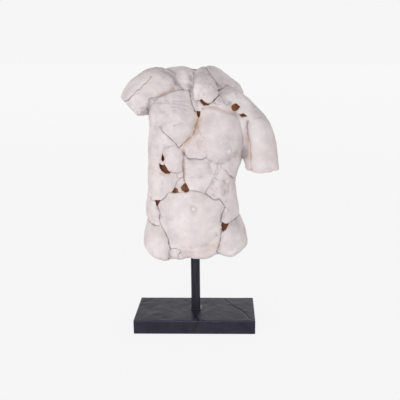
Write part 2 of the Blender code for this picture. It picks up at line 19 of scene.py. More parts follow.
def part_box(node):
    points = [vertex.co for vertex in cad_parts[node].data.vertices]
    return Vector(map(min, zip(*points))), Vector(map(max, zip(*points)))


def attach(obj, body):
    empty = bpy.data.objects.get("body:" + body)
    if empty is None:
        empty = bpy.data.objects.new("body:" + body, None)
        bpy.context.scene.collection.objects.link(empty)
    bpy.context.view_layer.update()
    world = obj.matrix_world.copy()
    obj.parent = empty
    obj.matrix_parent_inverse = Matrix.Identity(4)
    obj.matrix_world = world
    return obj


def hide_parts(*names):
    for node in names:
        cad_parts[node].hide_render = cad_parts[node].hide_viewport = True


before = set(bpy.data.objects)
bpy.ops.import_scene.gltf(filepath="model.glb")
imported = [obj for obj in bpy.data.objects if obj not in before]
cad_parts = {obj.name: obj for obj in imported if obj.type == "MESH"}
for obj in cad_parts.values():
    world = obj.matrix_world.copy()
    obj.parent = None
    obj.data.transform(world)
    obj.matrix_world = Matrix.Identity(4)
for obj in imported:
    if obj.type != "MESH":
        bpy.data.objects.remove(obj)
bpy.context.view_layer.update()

scene = bpy.context.scene

# %% [markdown]
# Colours and nodes
#
# Colours are easiest to choose as the hex values that a screen shows, but a renderer adds up light,
# so each one is turned linear before it is used. A material is a chain of nodes, and one helper adds
# a node of any kind with its settings and links, so that a chain reads from top to bottom. Real
# finishes are laid on in coats, and so are these: each coat covers what lies below it where some
# amount, such as that of the wash, is high enough.

# %% Colour and node helpers
def linear(code):
    """A hex colour turned linear: each part / 12.92 near black, else ((part + 0.055) / 1.055) to the 2.4."""
    parts = [int(code[i:i + 2], 16) / 255 for i in (1, 3, 5)]
    return (*(p / 12.92 if p <= 0.04045 else ((p + 0.055) / 1.055) ** 2.4 for p in parts), 1.0)


def feed(tree, node, sockets):
    """Gives each named socket of a node its value, or the output that feeds it."""
    for name, value in sockets.items():
        if isinstance(value, bpy.types.NodeSocket):
            tree.links.new(value, node.inputs[name])
        else:
            node.inputs[name].default_value = value


def add_node(tree, kind, settings, sockets):
    """Adds one node with its own settings, and feeds its sockets."""
    node = tree.nodes.new(kind)
    for name, value in settings.items():
        setattr(node, name, value)
    feed(tree, node, sockets)
    return node


def start_material(name):
    """A new material, its tree of nodes, and its shader, which already feeds the output."""
    made = bpy.data.materials.new(name)
    made.use_nodes = True
    tree = made.node_tree
    return made, tree, tree.nodes["Principled BSDF"]


# A colour mix keeps its two colours in these sockets and its result in this output
UNDER, OVER, MIXED = 6, 7, 2


def lay_coats(tree, colour, coats):
    """Lays each coat over the colour so far: its share grows from 0 to its most between two amounts."""
    for amount, starts, full, most, growth, over in coats:
        share = add_node(
            tree, "ShaderNodeMapRange", {"interpolation_type": growth},
            {"Value": amount, "From Min": starts, "From Max": full, "To Max": most},
        )
        mix = add_node(
            tree, "ShaderNodeMix", {"data_type": "RGBA"}, {0: share.outputs[0], UNDER: colour, OVER: over}
        )
        colour = mix.outputs[MIXED]
    return colour


print("white turned linear:", linear("#FFFFFF"))

# %% [markdown]
# The camera
#
# The slab is a rectangle, so the way that its sides draw together in the photograph gives the lens
# and the height that it was taken from: a little above the chest, looking down at the middle of the
# figure. The slab also stands to one side of the picture, which a small shift of the lens gives.

# %% Camera at the photograph's viewing angle
# Pixels of the photograph: its side, the focal length and the shift
PICTURE_SIDE = 400
FOCAL_PIXELS = 555
SHIFT_PIXELS = -27.5
# Degrees below level, and degrees of turn about the line of sight
LOOKS_DOWN = 14.26
PICTURE_ROLL = 0.2
CAMERA_PLACE = (0.067, -1.096, 0.549)
FILM_WIDTH = 36.0

lens = bpy.data.cameras.new("camera")
lens.sensor_width = FILM_WIDTH
lens.lens = FOCAL_PIXELS / PICTURE_SIDE * lens.sensor_width
lens.shift_x = SHIFT_PIXELS / PICTURE_SIDE
camera = bpy.data.objects.new("camera", lens)
tilt = Matrix.Rotation(math.radians(90 - LOOKS_DOWN), 4, "X")
roll = Matrix.Rotation(math.radians(PICTURE_ROLL), 4, "Z")
camera.matrix_world = Matrix.Translation(CAMERA_PLACE) @ tilt @ roll
scene.collection.objects.link(camera)
scene.camera = camera
print("lens", round(lens.lens, 2), "mm")

# %% [markdown]
# Floor and light
#
# The photograph is a studio picture on white. An opal sheet lit from below stands for the white
# table, because it leaves almost no shadow, and a white room lights every side alike. A grey ceiling
# keeps the surfaces that look up a little darker than the rest, as they are in the photograph. A
# large soft lamp in front, low and a little to the left, brightens what faces it, and two dim ones
# keep the right side and the back from being flat. A sun lamp with a wide disc serves for each,
# because its light is as strong everywhere on the floor.

# %% Pale floor, white room, grey ceiling and soft lamps
FLOOR_HALF = 60.0
FLOOR_GLOW = 0.882
CEILING_HALF = 2.6
CEILING_HEIGHT = 2.2
ROOM_WHITE = "#F6F6F6"
OPAL_GREY = "#404040"
CEILING_GREY = "#A0A0A0"
# Degrees across the disc that a lamp looks like
LAMP_DISC = 36.0
# Name, the direction that the light comes from, strength
LAMPS = (
    ("key lamp", (-0.42, -0.90, 0.14), 1.75),
    ("side lamp", (0.75, -0.35, 0.55), 0.30),
    ("back lamp", (0.45, 0.85, 0.20), 0.45),
)


def level_sheet(name, half_side, height, finish):
    """A level square sheet of the studio, which isn't part of the piece."""
    corners = [(x * half_side, y * half_side, height) for x, y in ((-1, -1), (1, -1), (1, 1), (-1, 1))]
    mesh = bpy.data.meshes.new(name)
    mesh.from_pydata(corners, [], [(0, 1, 2, 3)])
    mesh.materials.append(finish)
    sheet = bpy.data.objects.new(name, mesh)
    scene.collection.objects.link(sheet)


opal, opal_tree, opal_shader = start_material("opal acrylic sheet lit from below")
feed(opal_tree, opal_shader, {
    "Base Color": linear(OPAL_GREY), "Roughness": 1.0, "Specular IOR Level": 0.0,
    "Emission Color": linear("#FFFFFF"), "Emission Strength": FLOOR_GLOW,
})
level_sheet("floor", FLOOR_HALF, 0.0, opal)
distemper, distemper_tree, distemper_shader = start_material("grey distemper")
feed(distemper_tree, distemper_shader, {"Base Color": linear(CEILING_GREY), "Roughness": 1.0})
level_sheet("ceiling", CEILING_HALF, CEILING_HEIGHT, distemper)

room = bpy.data.worlds.new("white room")
room.use_nodes = True
room.node_tree.nodes["Background"].inputs["Color"].default_value = linear(ROOM_WHITE)
scene.world = room
scene.view_settings.view_transform = "Standard"

for name, from_where, strength in LAMPS:
    lamp = bpy.data.lights.new(name, "SUN")
    lamp.energy = strength
    lamp.angle = math.radians(LAMP_DISC)
    holder = bpy.data.objects.new(name, lamp)
    aim = (-Vector(from_where)).to_track_quat("-Z", "Y")
    holder.matrix_world = Matrix.Translation(from_where) @ aim.to_matrix().to_4x4()
    scene.collection.objects.link(holder)
print(len(LAMPS), "lamps, each a disc of", LAMP_DISC, "degrees")

# %% [markdown]
# The figure's own millimetres
#
# The torso is drawn in its own millimetres, the chest towards -Y, with its zero near its lowest edge.
# The CAD parts say where that is: the rod shows between the slab and the arch of the lower edge.

# %% Places taken from the frame
base_low, base_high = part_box("base")
rod_low, rod_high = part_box("rod")
cast_low, cast_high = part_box("torso")
ROD_IN_TORSO = 0.045
BELLY_LIFT = 0.006
FIT_GAP = 0.0003
MM = 0.001

rod_enters = rod_high.z + FIT_GAP - ROD_IN_TORSO
figure_zero = rod_enters - BELLY_LIFT
print("the figure's zero is", round(figure_zero * 1000, 1), "mm above the floor")

# %% [markdown]
# The trunk
#
# On the real figure the trunk is one swelling form from the hips to the neck. A level section of it
# is between an ellipse and a rectangle, and flatter in front than behind, so each one is drawn as
# two half superellipses. A few sections are listed, and a smooth curve runs through them.

# %% Trunk: level sections
# Height, left side, right side, front, back, squareness of the section
TRUNK = (
    (-2, -80, 82, -46, 52, 2.5),
    (1, -90, 91, -53, 60, 2.6),
    (7, -97, 100, -58, 66, 2.8),
    (17, -101, 106, -61, 70, 2.8),
    (30, -102, 107, -62, 72, 2.8),
    (50, -100, 102, -62, 69, 2.7),
    (75, -97, 95, -62, 59, 2.6),
    (100, -98, 90, -61, 50, 2.5),
    (125, -95, 86, -60, 45, 2.4),
    (150, -92, 83, -60, 45, 2.4),
    (175, -91, 88, -60, 48, 2.4),
    (200, -91, 96, -60, 53, 2.4),
    (225, -90, 99, -61, 58, 2.4),
    (250, -87, 99, -62, 62, 2.4),
    (275, -85, 98, -61, 64, 2.4),
    (300, -84, 97, -57, 63, 2.4),
    (320, -83, 97, -51, 60, 2.3),
    (335, -81, 97, -44, 55, 2.2),
    (348, -78, 90, -37, 49, 2.2),
    (360, -74, 77, -31, 42, 2.1),
    (370, -66, 66, -25, 35, 2.0),
    (376, -56, 57, -20, 31, 2.0),
    (379, -34, 46, -14, 26, 2.0),
)
AROUND = 128
RING_STEP = 2.5


def smooth_through(keys, at):
    """A curve through rows of (place, values): cubic pieces whose slopes are taken from the neighbours."""
    keys = np.asarray(keys, float)
    place, value = keys[:, 0], keys[:, 1:]
    slope = np.gradient(value, place, axis=0)
    i = np.clip(np.searchsorted(place, at) - 1, 0, len(place) - 2)
    step = (place[i + 1] - place[i])[:, None]
    t = np.clip((at - place[i])[:, None] / step, 0, 1)
    return (
        (2 * t**3 - 3 * t**2 + 1) * value[i]
        + (t**3 - 2 * t**2 + t) * step * slope[i]
        + (3 * t**2 - 2 * t**3) * value[i + 1]
        + (t**3 - t**2) * step * slope[i + 1]
    )


def trunk_rings():
    """A grid over height and turn: x and y are cosine and sine of the turn, each to the power 2 / square."""
    lowest, highest = TRUNK[0][0], TRUNK[-1][0]
    heights = np.append(np.arange(lowest, highest, RING_STEP), highest)
    left, right, front, back, square = smooth_through(TRUNK, heights).T[:, :, None]
    turn = np.linspace(0, 2 * math.pi, AROUND, endpoint=False)[None, :]
    across = np.sign(np.cos(turn)) * np.abs(np.cos(turn)) ** (2 / square)
    forward = np.sign(np.sin(turn)) * np.abs(np.sin(turn)) ** (2 / square)
    x = (left + right) / 2 + (right - left) / 2 * across
    y = np.where(forward > 0, back, -front) * forward
    return np.stack([x, y, np.broadcast_to(heights[:, None], x.shape)], axis=-1)


print("trunk:", trunk_rings().shape[:2], "points up and round")

# %% [markdown]
# The arms
#
# The left arm is lifted and broken off above the elbow, and the right one hangs. Each is an oval
# profile carried along a path that starts inside the chest, so that the shoulder grows out of it.

# %% Arms: an oval carried along a path
# Centre of the oval (x, y, z), half width in the front view, half depth
RAISED_ARM = (
    (-24, 0, 318, 26, 32),
    (-44, 1, 328, 36, 37),
    (-66, 3, 334, 42, 40),
    (-86, 4, 328, 40, 41),
    (-106, 3, 315.5, 34.5, 38),
    (-119, 2, 288, 27, 32),
)
HANGING_ARM = (
    (44, 0, 314, 36, 34),
    (72, 3, 302, 37, 39),
    (94, 4, 281, 36.5, 41),
    (115, 4, 256, 36.5, 41),
    (127, 4, 229, 35.5, 39),
    (132, 3, 204, 34.5, 37),
    (141, 2, 166, 30, 34),
)
ARM_STEP = 0.016


def arm_rings(path):
    """A grid over path and turn: the path's point plus half width and half depth times cosine and sine."""
    stations = np.column_stack([np.linspace(0, 1, len(path)), path])
    share = np.arange(0, 1 + ARM_STEP / 2, ARM_STEP)
    rows = smooth_through(stations, share)
    centre, wide, deep = rows[:, :3], rows[:, 3:4, None], rows[:, 4:5, None]
    along = np.gradient(centre, axis=0)
    along /= np.linalg.norm(along, axis=1, keepdims=True)
    side = np.column_stack([along[:, 2], np.zeros(len(share)), -along[:, 0]])
    turn = np.linspace(0, 2 * math.pi, AROUND, endpoint=False)[None, :, None]
    depth = np.array([0.0, 1.0, 0.0])
    return centre[:, None] + wide * np.cos(turn) * side[:, None] + deep * np.sin(turn) * depth


print("arms:", arm_rings(RAISED_ARM).shape[:2], "and", arm_rings(HANGING_ARM).shape[:2], "points")

# %% [markdown]
# Breaks
#
# The neck and both arms end in breaks, which on such a cast are rough but nearly flat. Each form is
# cut off along a plane before they are joined. The roughness comes later, with the other relief.

# %% Closed forms, cut off at their breaks
NECK_BREAKS = (
    ((28, 6, 380), (0.42, -0.62, 0.66)),
    ((-6, -20, 363), (-0.30, -0.66, 0.69)),
)
RAISED_ARM_BREAKS = (
    ((-125, 0, 302), (-0.70, -0.18, -0.69)),
    ((-100, 0, 285.5), (-0.1, -0.1, -0.99)),
)
HANGING_ARM_BREAKS = (((140, 0, 179), (0.03, 0.08, -1.0)),)


def closed_form(rings, breaks):
    """The grid of rings as a closed mesh with a cap at each end, cut off flat at each break."""
    count, around = rings.shape[:2]
    low = np.arange((count - 1) * around).reshape(count - 1, around)
    after = np.roll(low, -1, axis=1)
    quads = np.stack([low, after, after + around, low + around], axis=-1).reshape(-1, 4).tolist()
    last = (count - 1) * around
    caps = [list(range(around))[::-1], list(range(last, last + around))]
    drawn = bpy.data.meshes.new("form")
    drawn.from_pydata(rings.reshape(-1, 3).tolist(), [], quads + caps)
    form = bmesh.new()
    form.from_mesh(drawn)
    bpy.data.meshes.remove(drawn)
    bmesh.ops.recalc_face_normals(form, faces=form.faces)
    for point, facing in breaks:
        every = form.verts[:] + form.edges[:] + form.faces[:]
        cut = bmesh.ops.bisect_plane(form, geom=every, plane_co=point, plane_no=facing, clear_outer=True)
        rim = [e for e in cut["geom_cut"] if isinstance(e, bmesh.types.BMEdge)]
        bmesh.ops.contextual_create(form, geom=rim)
    return form


torso_mesh = bpy.data.meshes.new("torso_cast")
gathered = bmesh.new()
for rings, breaks in (
    (trunk_rings(), NECK_BREAKS),
    (arm_rings(RAISED_ARM), RAISED_ARM_BREAKS),
    (arm_rings(HANGING_ARM), HANGING_ARM_BREAKS),
):
    form = closed_form(rings, breaks)
    form.to_mesh(torso_mesh)
    gathered.from_mesh(torso_mesh)
    form.free()
gathered.to_mesh(torso_mesh)
gathered.free()
print("three forms:", len(torso_mesh.polygons), "faces")

# %% [markdown]
# One skin
#
# The real figure is one casting, so its shoulders have no joints. A voxel remesh wraps the three
# overlapping forms in one skin of small squares, and a few rounds of smoothing melt them together,
# as clay would be smoothed with a thumb. The skin is fine enough to take the cracks afterwards.

# %% Fuse the forms into one skin
SKIN_CELL = 1.15
BLEND_ROUNDS = 12
BLEND_FACTOR = 0.5

torso = bpy.data.objects.new("torso_cast", torso_mesh)
scene.collection.objects.link(torso)


def apply_modifiers(obj):
    """The object's mesh with all its modifiers made real."""
    bpy.context.view_layer.update()
    graph = bpy.context.evaluated_depsgraph_get()
    made = bpy.data.meshes.new_from_object(obj.evaluated_get(graph))
    obj.modifiers.clear()
    old, obj.data = obj.data, made
    bpy.data.meshes.remove(old)
    return made


fuse = torso.modifiers.new("fuse", "REMESH")
fuse.mode = "VOXEL"
fuse.voxel_size = SKIN_CELL
melt = torso.modifiers.new("melt", "SMOOTH")
melt.factor = BLEND_FACTOR
melt.iterations = BLEND_ROUNDS
skin = apply_modifiers(torso)
print("one skin:", len(skin.vertices), "points")

# %% [markdown]
# Random relief
#
# Nothing on the cast is quite even. Lumps of any size come from one function: random numbers sit on
# the corners of a lattice of cubes, and each point blends the eight corners round it. The numbers
# come from a seed, so that every run gives the same lumps.

# %% Lumps of a chosen size
LATTICE = 64
# Size, how far a drawn line strays, seed
STRAYS = ((13.0, 1.1, 1), (4.5, 0.75, 3), (2.2, 0.4, 6))


def ease(t):
    """0 below 0, 1 above 1, and 3t squared less 2t cubed between them."""
    t = np.clip(t, 0, 1)
    return t * t * (3 - 2 * t)


def lumps(points, size, seed):
    """Random hills from -1 to 1, about size apart: each corner's number by its share of the cube, summed."""
    corners = np.random.default_rng(seed).uniform(-1, 1, (LATTICE,) * 3)
    cells = points / size
    low = np.floor(cells).astype(int)
    share = ease(cells - low)
    total = np.zeros(len(points))
    for corner in np.ndindex(2, 2, 2):
        weight = np.prod(np.where(corner, share, 1 - share), axis=1)
        total += weight * corners[tuple(((low + corner) % LATTICE).T)]
    return total


def patchy(points, patches):
    """An even share plus an uneven one times the lumps of a size and seed: how much is left here."""
    even, uneven, size, seed = patches
    return even + uneven * lumps(points, size, seed)


def wander(x, z):
    """How far a drawn line strays here, across and up: wide waves plus small nicks, so it looks broken."""
    flat = np.column_stack([x, np.zeros_like(x), z])
    across, up = np.zeros_like(x), np.zeros_like(x)
    for size, reach, seed in STRAYS:
        across += reach * lumps(flat, size, seed)
        up += reach * lumps(flat, size, seed + 1)
    return across, up


print("lattice of", LATTICE**3, "random numbers")

# %% [markdown]
# Muscles
#
# The chest, belly and hips are low swellings, and the creases between them are furrows. A swelling
# is a turned oval that eases to nothing at its rim, and a furrow is a line with a bell-shaped
# hollow. Both are heights over the front view, and are later added along the skin's normals.

# %% Muscles of the front
# Middle (x, z), half sizes, turn in degrees, share of the radius that slopes, height
FRONT_PADS = (
    ((-42, 286), (55, 58), -14, 0.52, 5.6),
    ((-34, 256), (40, 24), 20, 0.7, 2.6),
    ((56, 252), (47, 56), -18, 0.60, 10.0),
    ((50, 230), (42, 32), -12, 0.9, 4.5),
    ((-36, 206), (22, 28), 5, 0.65, 4.2),
    ((8, 191), (27, 19), -6, 0.7, 3.0),
    ((8, 199), (29, 8), -3, 0.9, 1.5),
    ((6, 181), (27, 8), 4, 0.9, 1.3),
    ((10, 160), (24, 17), -8, 0.7, 2.6),
    ((6, 165), (22, 7), 3, 0.9, 1.0),
    ((-36, 160), (19, 20), 0, 0.8, 1.5),
    ((-76, 236), (18, 36), 8, 0.9, 2.0),
    ((-80, 160), (20, 34), 0, 0.9, 2.5),
    ((-72, 190), (16, 18), 20, 0.8, 1.5),
    ((62, 178), (16, 14), -40, 0.8, 3.0),
    ((54, 152), (18, 15), -35, 0.8, 3.0),
    ((45, 184), (8, 9), -30, 0.9, 2.0),
    ((54, 171), (8, 10), 20, 0.9, 1.8),
    ((53, 143), (9, 10), 10, 0.9, 2.4),
    ((37, 144), (7, 7), 0, 0.9, 1.4),
    ((69, 193), (10, 12), -20, 0.9, 2.0),
    ((76, 140), (16, 22), -10, 0.9, 2.0),
    ((-4, 78), (68, 72), 0, 0.62, 5.5),
    ((-2, 66), (50, 42), 0, 0.9, 3.6),
    ((-3, 128), (10, 8), 0, 0.9, 0.8),
    ((-80, 36), (36, 48), -8, 0.8, 4.0),
    ((82, 40), (36, 50), 8, 0.8, 5.0),
    ((-84, 100), (20, 30), 0, 0.9, 2.0),
    ((80, 104), (20, 28), 10, 0.9, 2.0),
    ((-78, 345), (26, 20), 30, 0.9, 2.0),
    ((-44, 360), (30, 16), 0, 0.9, 3.0),
    ((-18, 364), (16, 16), 0, 0.8, 3.0),
    ((30, 362), (26, 22), -30, 0.8, 3.0),
    ((126, 232), (26, 44), -12, 0.9, 2.5),
)
# Line (x, z), half width, depth
FRONT_FURROWS = (
    (((12, 322), (11, 296), (9, 276), (2, 256), (-8, 238), (-16, 222)), 9.0, 4.5),
    (((-16, 222), (-16, 196), (-15, 170), (-10, 145)), 4.0, 2.0),
    (((22, 305), (34, 307), (46, 304), (57, 300), (72, 295), (96, 286)), 3.8, 3.6),
    (((108, 276), (104, 264), (107, 245), (104, 225), (100, 205)), 5.0, 4.0),
    (((-84, 300), (-79, 317), (-64, 321), (-51, 328), (-36, 336), (-22, 342), (-4, 342)), 3.6, 3.6),
    (((26, 206), (44, 198), (64, 200), (84, 214)), 8.0, 2.6),
    (((-13, 190), (8, 188), (33, 191)), 4.2, 0.9),
    (((-15, 173), (4, 170), (34, 175)), 5.0, 0.8),
    (((-12, 157), (8, 158), (26, 161)), 4.0, 0.6),
    (((-58, 178), (-18, 182)), 6.0, 1.6),
    (((30, 198), (44, 176), (36, 154), (26, 142)), 6.0, 2.2),
    (((61, 188), (71, 173), (80, 164)), 3.0, 1.6),
    (((37, 139), (50, 129), (63, 122)), 3.5, 1.6),
    (((57, 196), (45, 170), (62, 160), (46, 152)), 3.5, 1.2),
    (((-60, 200), (-60, 160), (-62, 130)), 8.0, 2.0),
    (((-68, 112), (-66, 80), (-54, 52), (-46, 22), (-46, 4)), 6.0, 3.0),
    (((60, 112), (56, 82), (58, 50), (52, 24), (50, 8)), 6.0, 3.0),
    (((-96, 80), (-80, 73), (-68, 72)), 5.0, 1.6),
    (((66, 78), (98, 88)), 5.0, 1.4),
    (((-53, 60), (-47, 49), (-37, 41), (-24, 36), (-8, 34), (10, 34), (25, 39), (37, 48), (45, 58)),
     6.5, 1.9),
    (((-22, 22), (-8, 19), (12, 19), (34, 26)), 3.0, 1.0),
    (((-58, 371), (-44, 366), (-35, 357), (-27, 347), (-21, 342)), 3.4, 2.6),
    (((-30, 348), (-14, 351), (0, 352)), 7.0, 3.0),
    (((5, 392), (5, 370), (-1, 352)), 7.0, 6.5),
    (((-4, 368), (-4, 362)), 2.4, 2.2),
    (((-74, 317), (-40, 315), (-4, 318)), 1.8, 0.7),
    (((-66, 310), (-40, 311), (-6, 310)), 2.2, 0.9),
    (((-36, 305), (-22, 304), (-6, 302)), 1.8, 0.6),
    (((-30, 271), (-16, 276), (-4, 284)), 4.0, 1.6),
    (((-62, 269), (-56, 267)), 2.4, 1.2),
)


def pad(x, z, middle, size, turn, slope):
    """1 over the middle of a turned oval, easing to 0 at its rim over the share slope of its radius."""
    c, s = math.cos(math.radians(turn)), math.sin(math.radians(turn))
    u = ((x - middle[0]) * c + (z - middle[1]) * s) / size[0]
    v = ((z - middle[1]) * c - (x - middle[0]) * s) / size[1]
    return ease((1 - np.hypot(u, v)) / slope)


def distance_to(x, z, line):
    """The distance from each point to the nearest stretch of a line of points."""
    nearest = np.full(x.shape, np.inf)
    for (ax, az), (bx, bz) in zip(line, line[1:]):
        dx, dz = bx - ax, bz - az
        t = np.clip(((x - ax) * dx + (z - az) * dz) / (dx * dx + dz * dz), 0, 1)
        nearest = np.minimum(nearest, np.hypot(x - ax - t * dx, z - az - t * dz))
    return nearest


def muscles(x, z, pads, furrows):
    """The sum of the pads less each furrow's depth times e to the minus (distance / width) squared."""
    height = np.zeros(x.shape)
    for middle, size, turn, slope, rise in pads:
        height += rise * pad(x, z, middle, size, turn, slope)
    for line, width, depth in furrows:
        height -= depth * np.exp(-((distance_to(x, z, line) / width) ** 2))
    return height


print(len(FRONT_PADS), "swellings and", len(FRONT_FURROWS), "furrows in front")

# %% [markdown]
# Muscles of the back
#
# The photograph doesn't show the back, so it is in keeping with the front but plainer: shoulder
# blades, the two long muscles beside the spine, the flanks, and the seat.

# %% Muscles of the back
BACK_PADS = (
    ((-46, 292), (38, 48), 12, 0.6, 7.0),
    ((54, 270), (38, 48), -18, 0.6, 7.0),
    ((-14, 150), (13, 74), 4, 0.8, 4.5),
    ((22, 148), (13, 74), -4, 0.8, 4.5),
    ((-64, 210), (30, 62), 8, 0.8, 4.0),
    ((66, 200), (28, 58), -10, 0.8, 4.0),
    ((-50, 38), (48, 50), 0, 0.6, 9.0),
    ((54, 40), (48, 50), 0, 0.6, 9.0),
)
BACK_FURROWS = (
    (((14, 350), (8, 300), (4, 240), (3, 180), (4, 120), (4, 84)), 9.0, 6.0),
    (((3, 84), (2, 40), (2, -10)), 7.0, 9.0),
    (((-92, 82), (-50, 92), (-14, 74)), 9.0, 3.0),
    (((98, 86), (56, 94), (18, 74)), 9.0, 3.0),
    (((-18, 336), (-28, 290), (-62, 244), (-92, 232)), 8.0, 3.0),
    (((34, 326), (32, 276), (62, 226), (92, 214)), 8.0, 3.0),
)
print(len(BACK_PADS), "swellings and", len(BACK_FURROWS), "furrows behind")

# %% [markdown]
# Plates
#
# The cast looks as if it was glued together from shards. Each plate stands a little proud of its
# neighbours and leans a little, so its outline shows as a small step. The outlines are drawn as
# seen from the front.

# %% Plates of the front and back
# Outline (x, z), how far it stands proud, its lean across and up
FRONT_PLATES = (
    (((-4, 345), (-2, 330), (4, 306), (8, 297), (11, 284), (6, 265), (-1, 249), (-10, 242), (-18, 236),
      (-26, 231), (-37, 245), (-57, 266), (-120, 266), (-120, 318), (-78, 322), (-57, 326), (-35, 337),
      (-14, 340)),
     0.6, 0.004, 0.0),
    (((15, 296), (24, 306), (46, 304), (63, 300), (84, 292), (103, 286), (105, 262), (102, 240),
      (98, 222), (84, 212), (64, 200), (40, 200), (27, 211), (12, 256), (12, 276)),
     0.8, 0.006, 0.0),
    (((3, 253), (-10, 242), (-18, 236), (-24, 230), (-19, 221), (-10, 211), (7, 209), (24, 208), (27, 212),
      (22, 240), (12, 256)),
     1.5, 0.0, -0.020),
    (((-54, 222), (-43, 230), (-30, 233), (-18, 221), (-15, 207), (-16, 199), (-20, 184), (-30, 181),
      (-41, 181), (-50, 190), (-56, 200), (-56, 214)),
     1.4, -0.010, 0.0),
    (((-15, 207), (8, 207), (26, 207), (50, 196), (48, 191), (41, 178), (37, 161), (28, 150), (24, 141),
      (4, 146), (-7, 146), (-14, 162), (-17, 183)),
     0.9, 0.0, 0.008),
    (((-62, 125), (-54, 132), (-49, 141), (-33, 143), (-8, 145), (4, 146), (12, 144), (24, 140), (36, 131),
      (45, 127), (53, 127), (59, 120), (64, 112), (58, 101), (55, 83), (58, 63), (58, 53), (55, 40),
      (52, 27), (48, -14), (-25, -14), (-21, 19), (-34, 25), (-45, 26), (-52, 51), (-56, 61),
      (-64, 73), (-67, 76), (-66, 95), (-70, 111)),
     1.3, 0.0, -0.004),
    (((-120, 96), (-88, 80), (-80, 73), (-67, 75), (-56, 61), (-52, 51), (-45, 26), (-50, -14), (-120, -14)),
     0.7, 0.0, 0.0),
    (((120, 98), (86, 84), (70, 77), (58, 63), (58, 53), (52, 27), (48, 20), (58, -14), (120, -14)),
     0.9, 0.0, 0.0),
    (((-84, 298), (-80, 318), (-64, 322), (-51, 329), (-41, 334), (-31, 338), (-22, 343), (-27, 347),
      (-35, 357), (-43, 366), (-57, 371), (-60, 400), (-160, 400), (-160, 270)),
     1.2, 0.013, 0.0),
    (((-150, 300), (-121, 317), (-111, 325), (-105, 334), (-99, 336), (-94, 340), (-81, 352), (-76, 360),
      (-70, 372), (-60, 400), (-160, 380)),
     0.9, 0.010, 0.0),
    (((112, 150), (113, 207), (111, 220), (110, 235), (103, 262), (107, 277), (123, 284), (133, 288),
      (190, 320), (190, 150)),
     0.7, 0.0, 0.0),
    (((-24, 170), (-19, 173), (-15, 162), (-25, 152), (-33, 156), (-29, 164)), 0.8, 0.0, 0.0),
    (((4, 354), (15, 343), (28, 339), (34, 338), (40, 331), (47, 323), (46, 334), (43, 340), (42, 349),
      (33, 359), (28, 365), (25, 374), (24, 390), (2, 390)),
     5.9, -0.20, -0.33),
    (((25, 379), (28, 365), (33, 359), (43, 348), (58, 342), (66, 345), (76, 342), (93, 344), (92, 352),
      (80, 362), (60, 376), (45, 386), (30, 390)),
     1.3, -0.05, -0.10),
    (((4, 354), (15, 343), (28, 339), (34, 338), (40, 331), (47, 323), (40, 317), (33, 311), (28, 314),
      (22, 318), (13, 321), (6, 324), (2, 336)),
     7.5, 0.20, 0.36),
    (((47, 323), (48, 327), (44, 332), (53, 338), (58, 341), (66, 344), (75, 341), (78, 334), (66, 327),
      (55, 322)),
     2.8, 0.0, -0.22),
    (((47, 323), (55, 322), (66, 327), (78, 334), (84, 325), (72, 312), (48, 310), (40, 314)),
     3.4, -0.20, 0.30),
)
BACK_PLATES = (
    (((-130, 228), (-60, 246), (-20, 222), (6, 244), (8, 330), (-20, 352), (-130, 330)), 1.0, 0.004, 0.0),
    (((94, 204), (66, 196), (30, 214), (6, 244), (12, 300), (60, 330), (94, 320)), 0.5, -0.004, 0.0),
    (((-130, 96), (-70, 108), (-24, 92), (2, 104), (6, 150), (-18, 222), (-60, 246), (-130, 228)),
     0.3, 0.0, 0.0),
    (((-130, -14), (3, -14), (2, 60), (2, 104), (-24, 92), (-70, 108), (-130, 96)), 1.1, 0.0, 0.0),
    (((130, -14), (3, -14), (2, 60), (2, 104), (40, 96), (80, 110), (130, 92)), 0.7, 0.0, 0.0),
)


def inside(x, z, outline):
    """Whether each point is inside a closed outline, with an odd number of edges to its right."""
    within = np.zeros(x.shape, bool)
    for (ax, az), (bx, bz) in zip(outline, outline[1:] + outline[:1]):
        crossing = (az > z) != (bz > z)
        edge = ax + (z - az) / (bz - az if bz != az else 1) * (bx - ax)
        within ^= crossing & (x < edge)
    return within


def plate_heights(x, z, plates):
    """Inside each outline the plate's own height, plus its leans times the distance from its middle."""
    height = np.zeros(x.shape)
    for outline, rise, lean_x, lean_z in plates:
        middle = np.mean(outline, axis=0)
        leaning = rise + lean_x * (x - middle[0]) + lean_z * (z - middle[1])
        height = np.where(inside(x, z, outline), leaning, height)
    return height


print(len(FRONT_PLATES), "plates in front,", len(BACK_PLATES), "behind")

# %% [markdown]
# Cracks
#
# The plates meet in narrow open cracks, and a shard's edge is always a little rounded, so a crack is
# a slot with soft shoulders. Dirt from the glue and the workshop sits in some of them. The same
# table therefore gives each crack's shape and how dark it is.

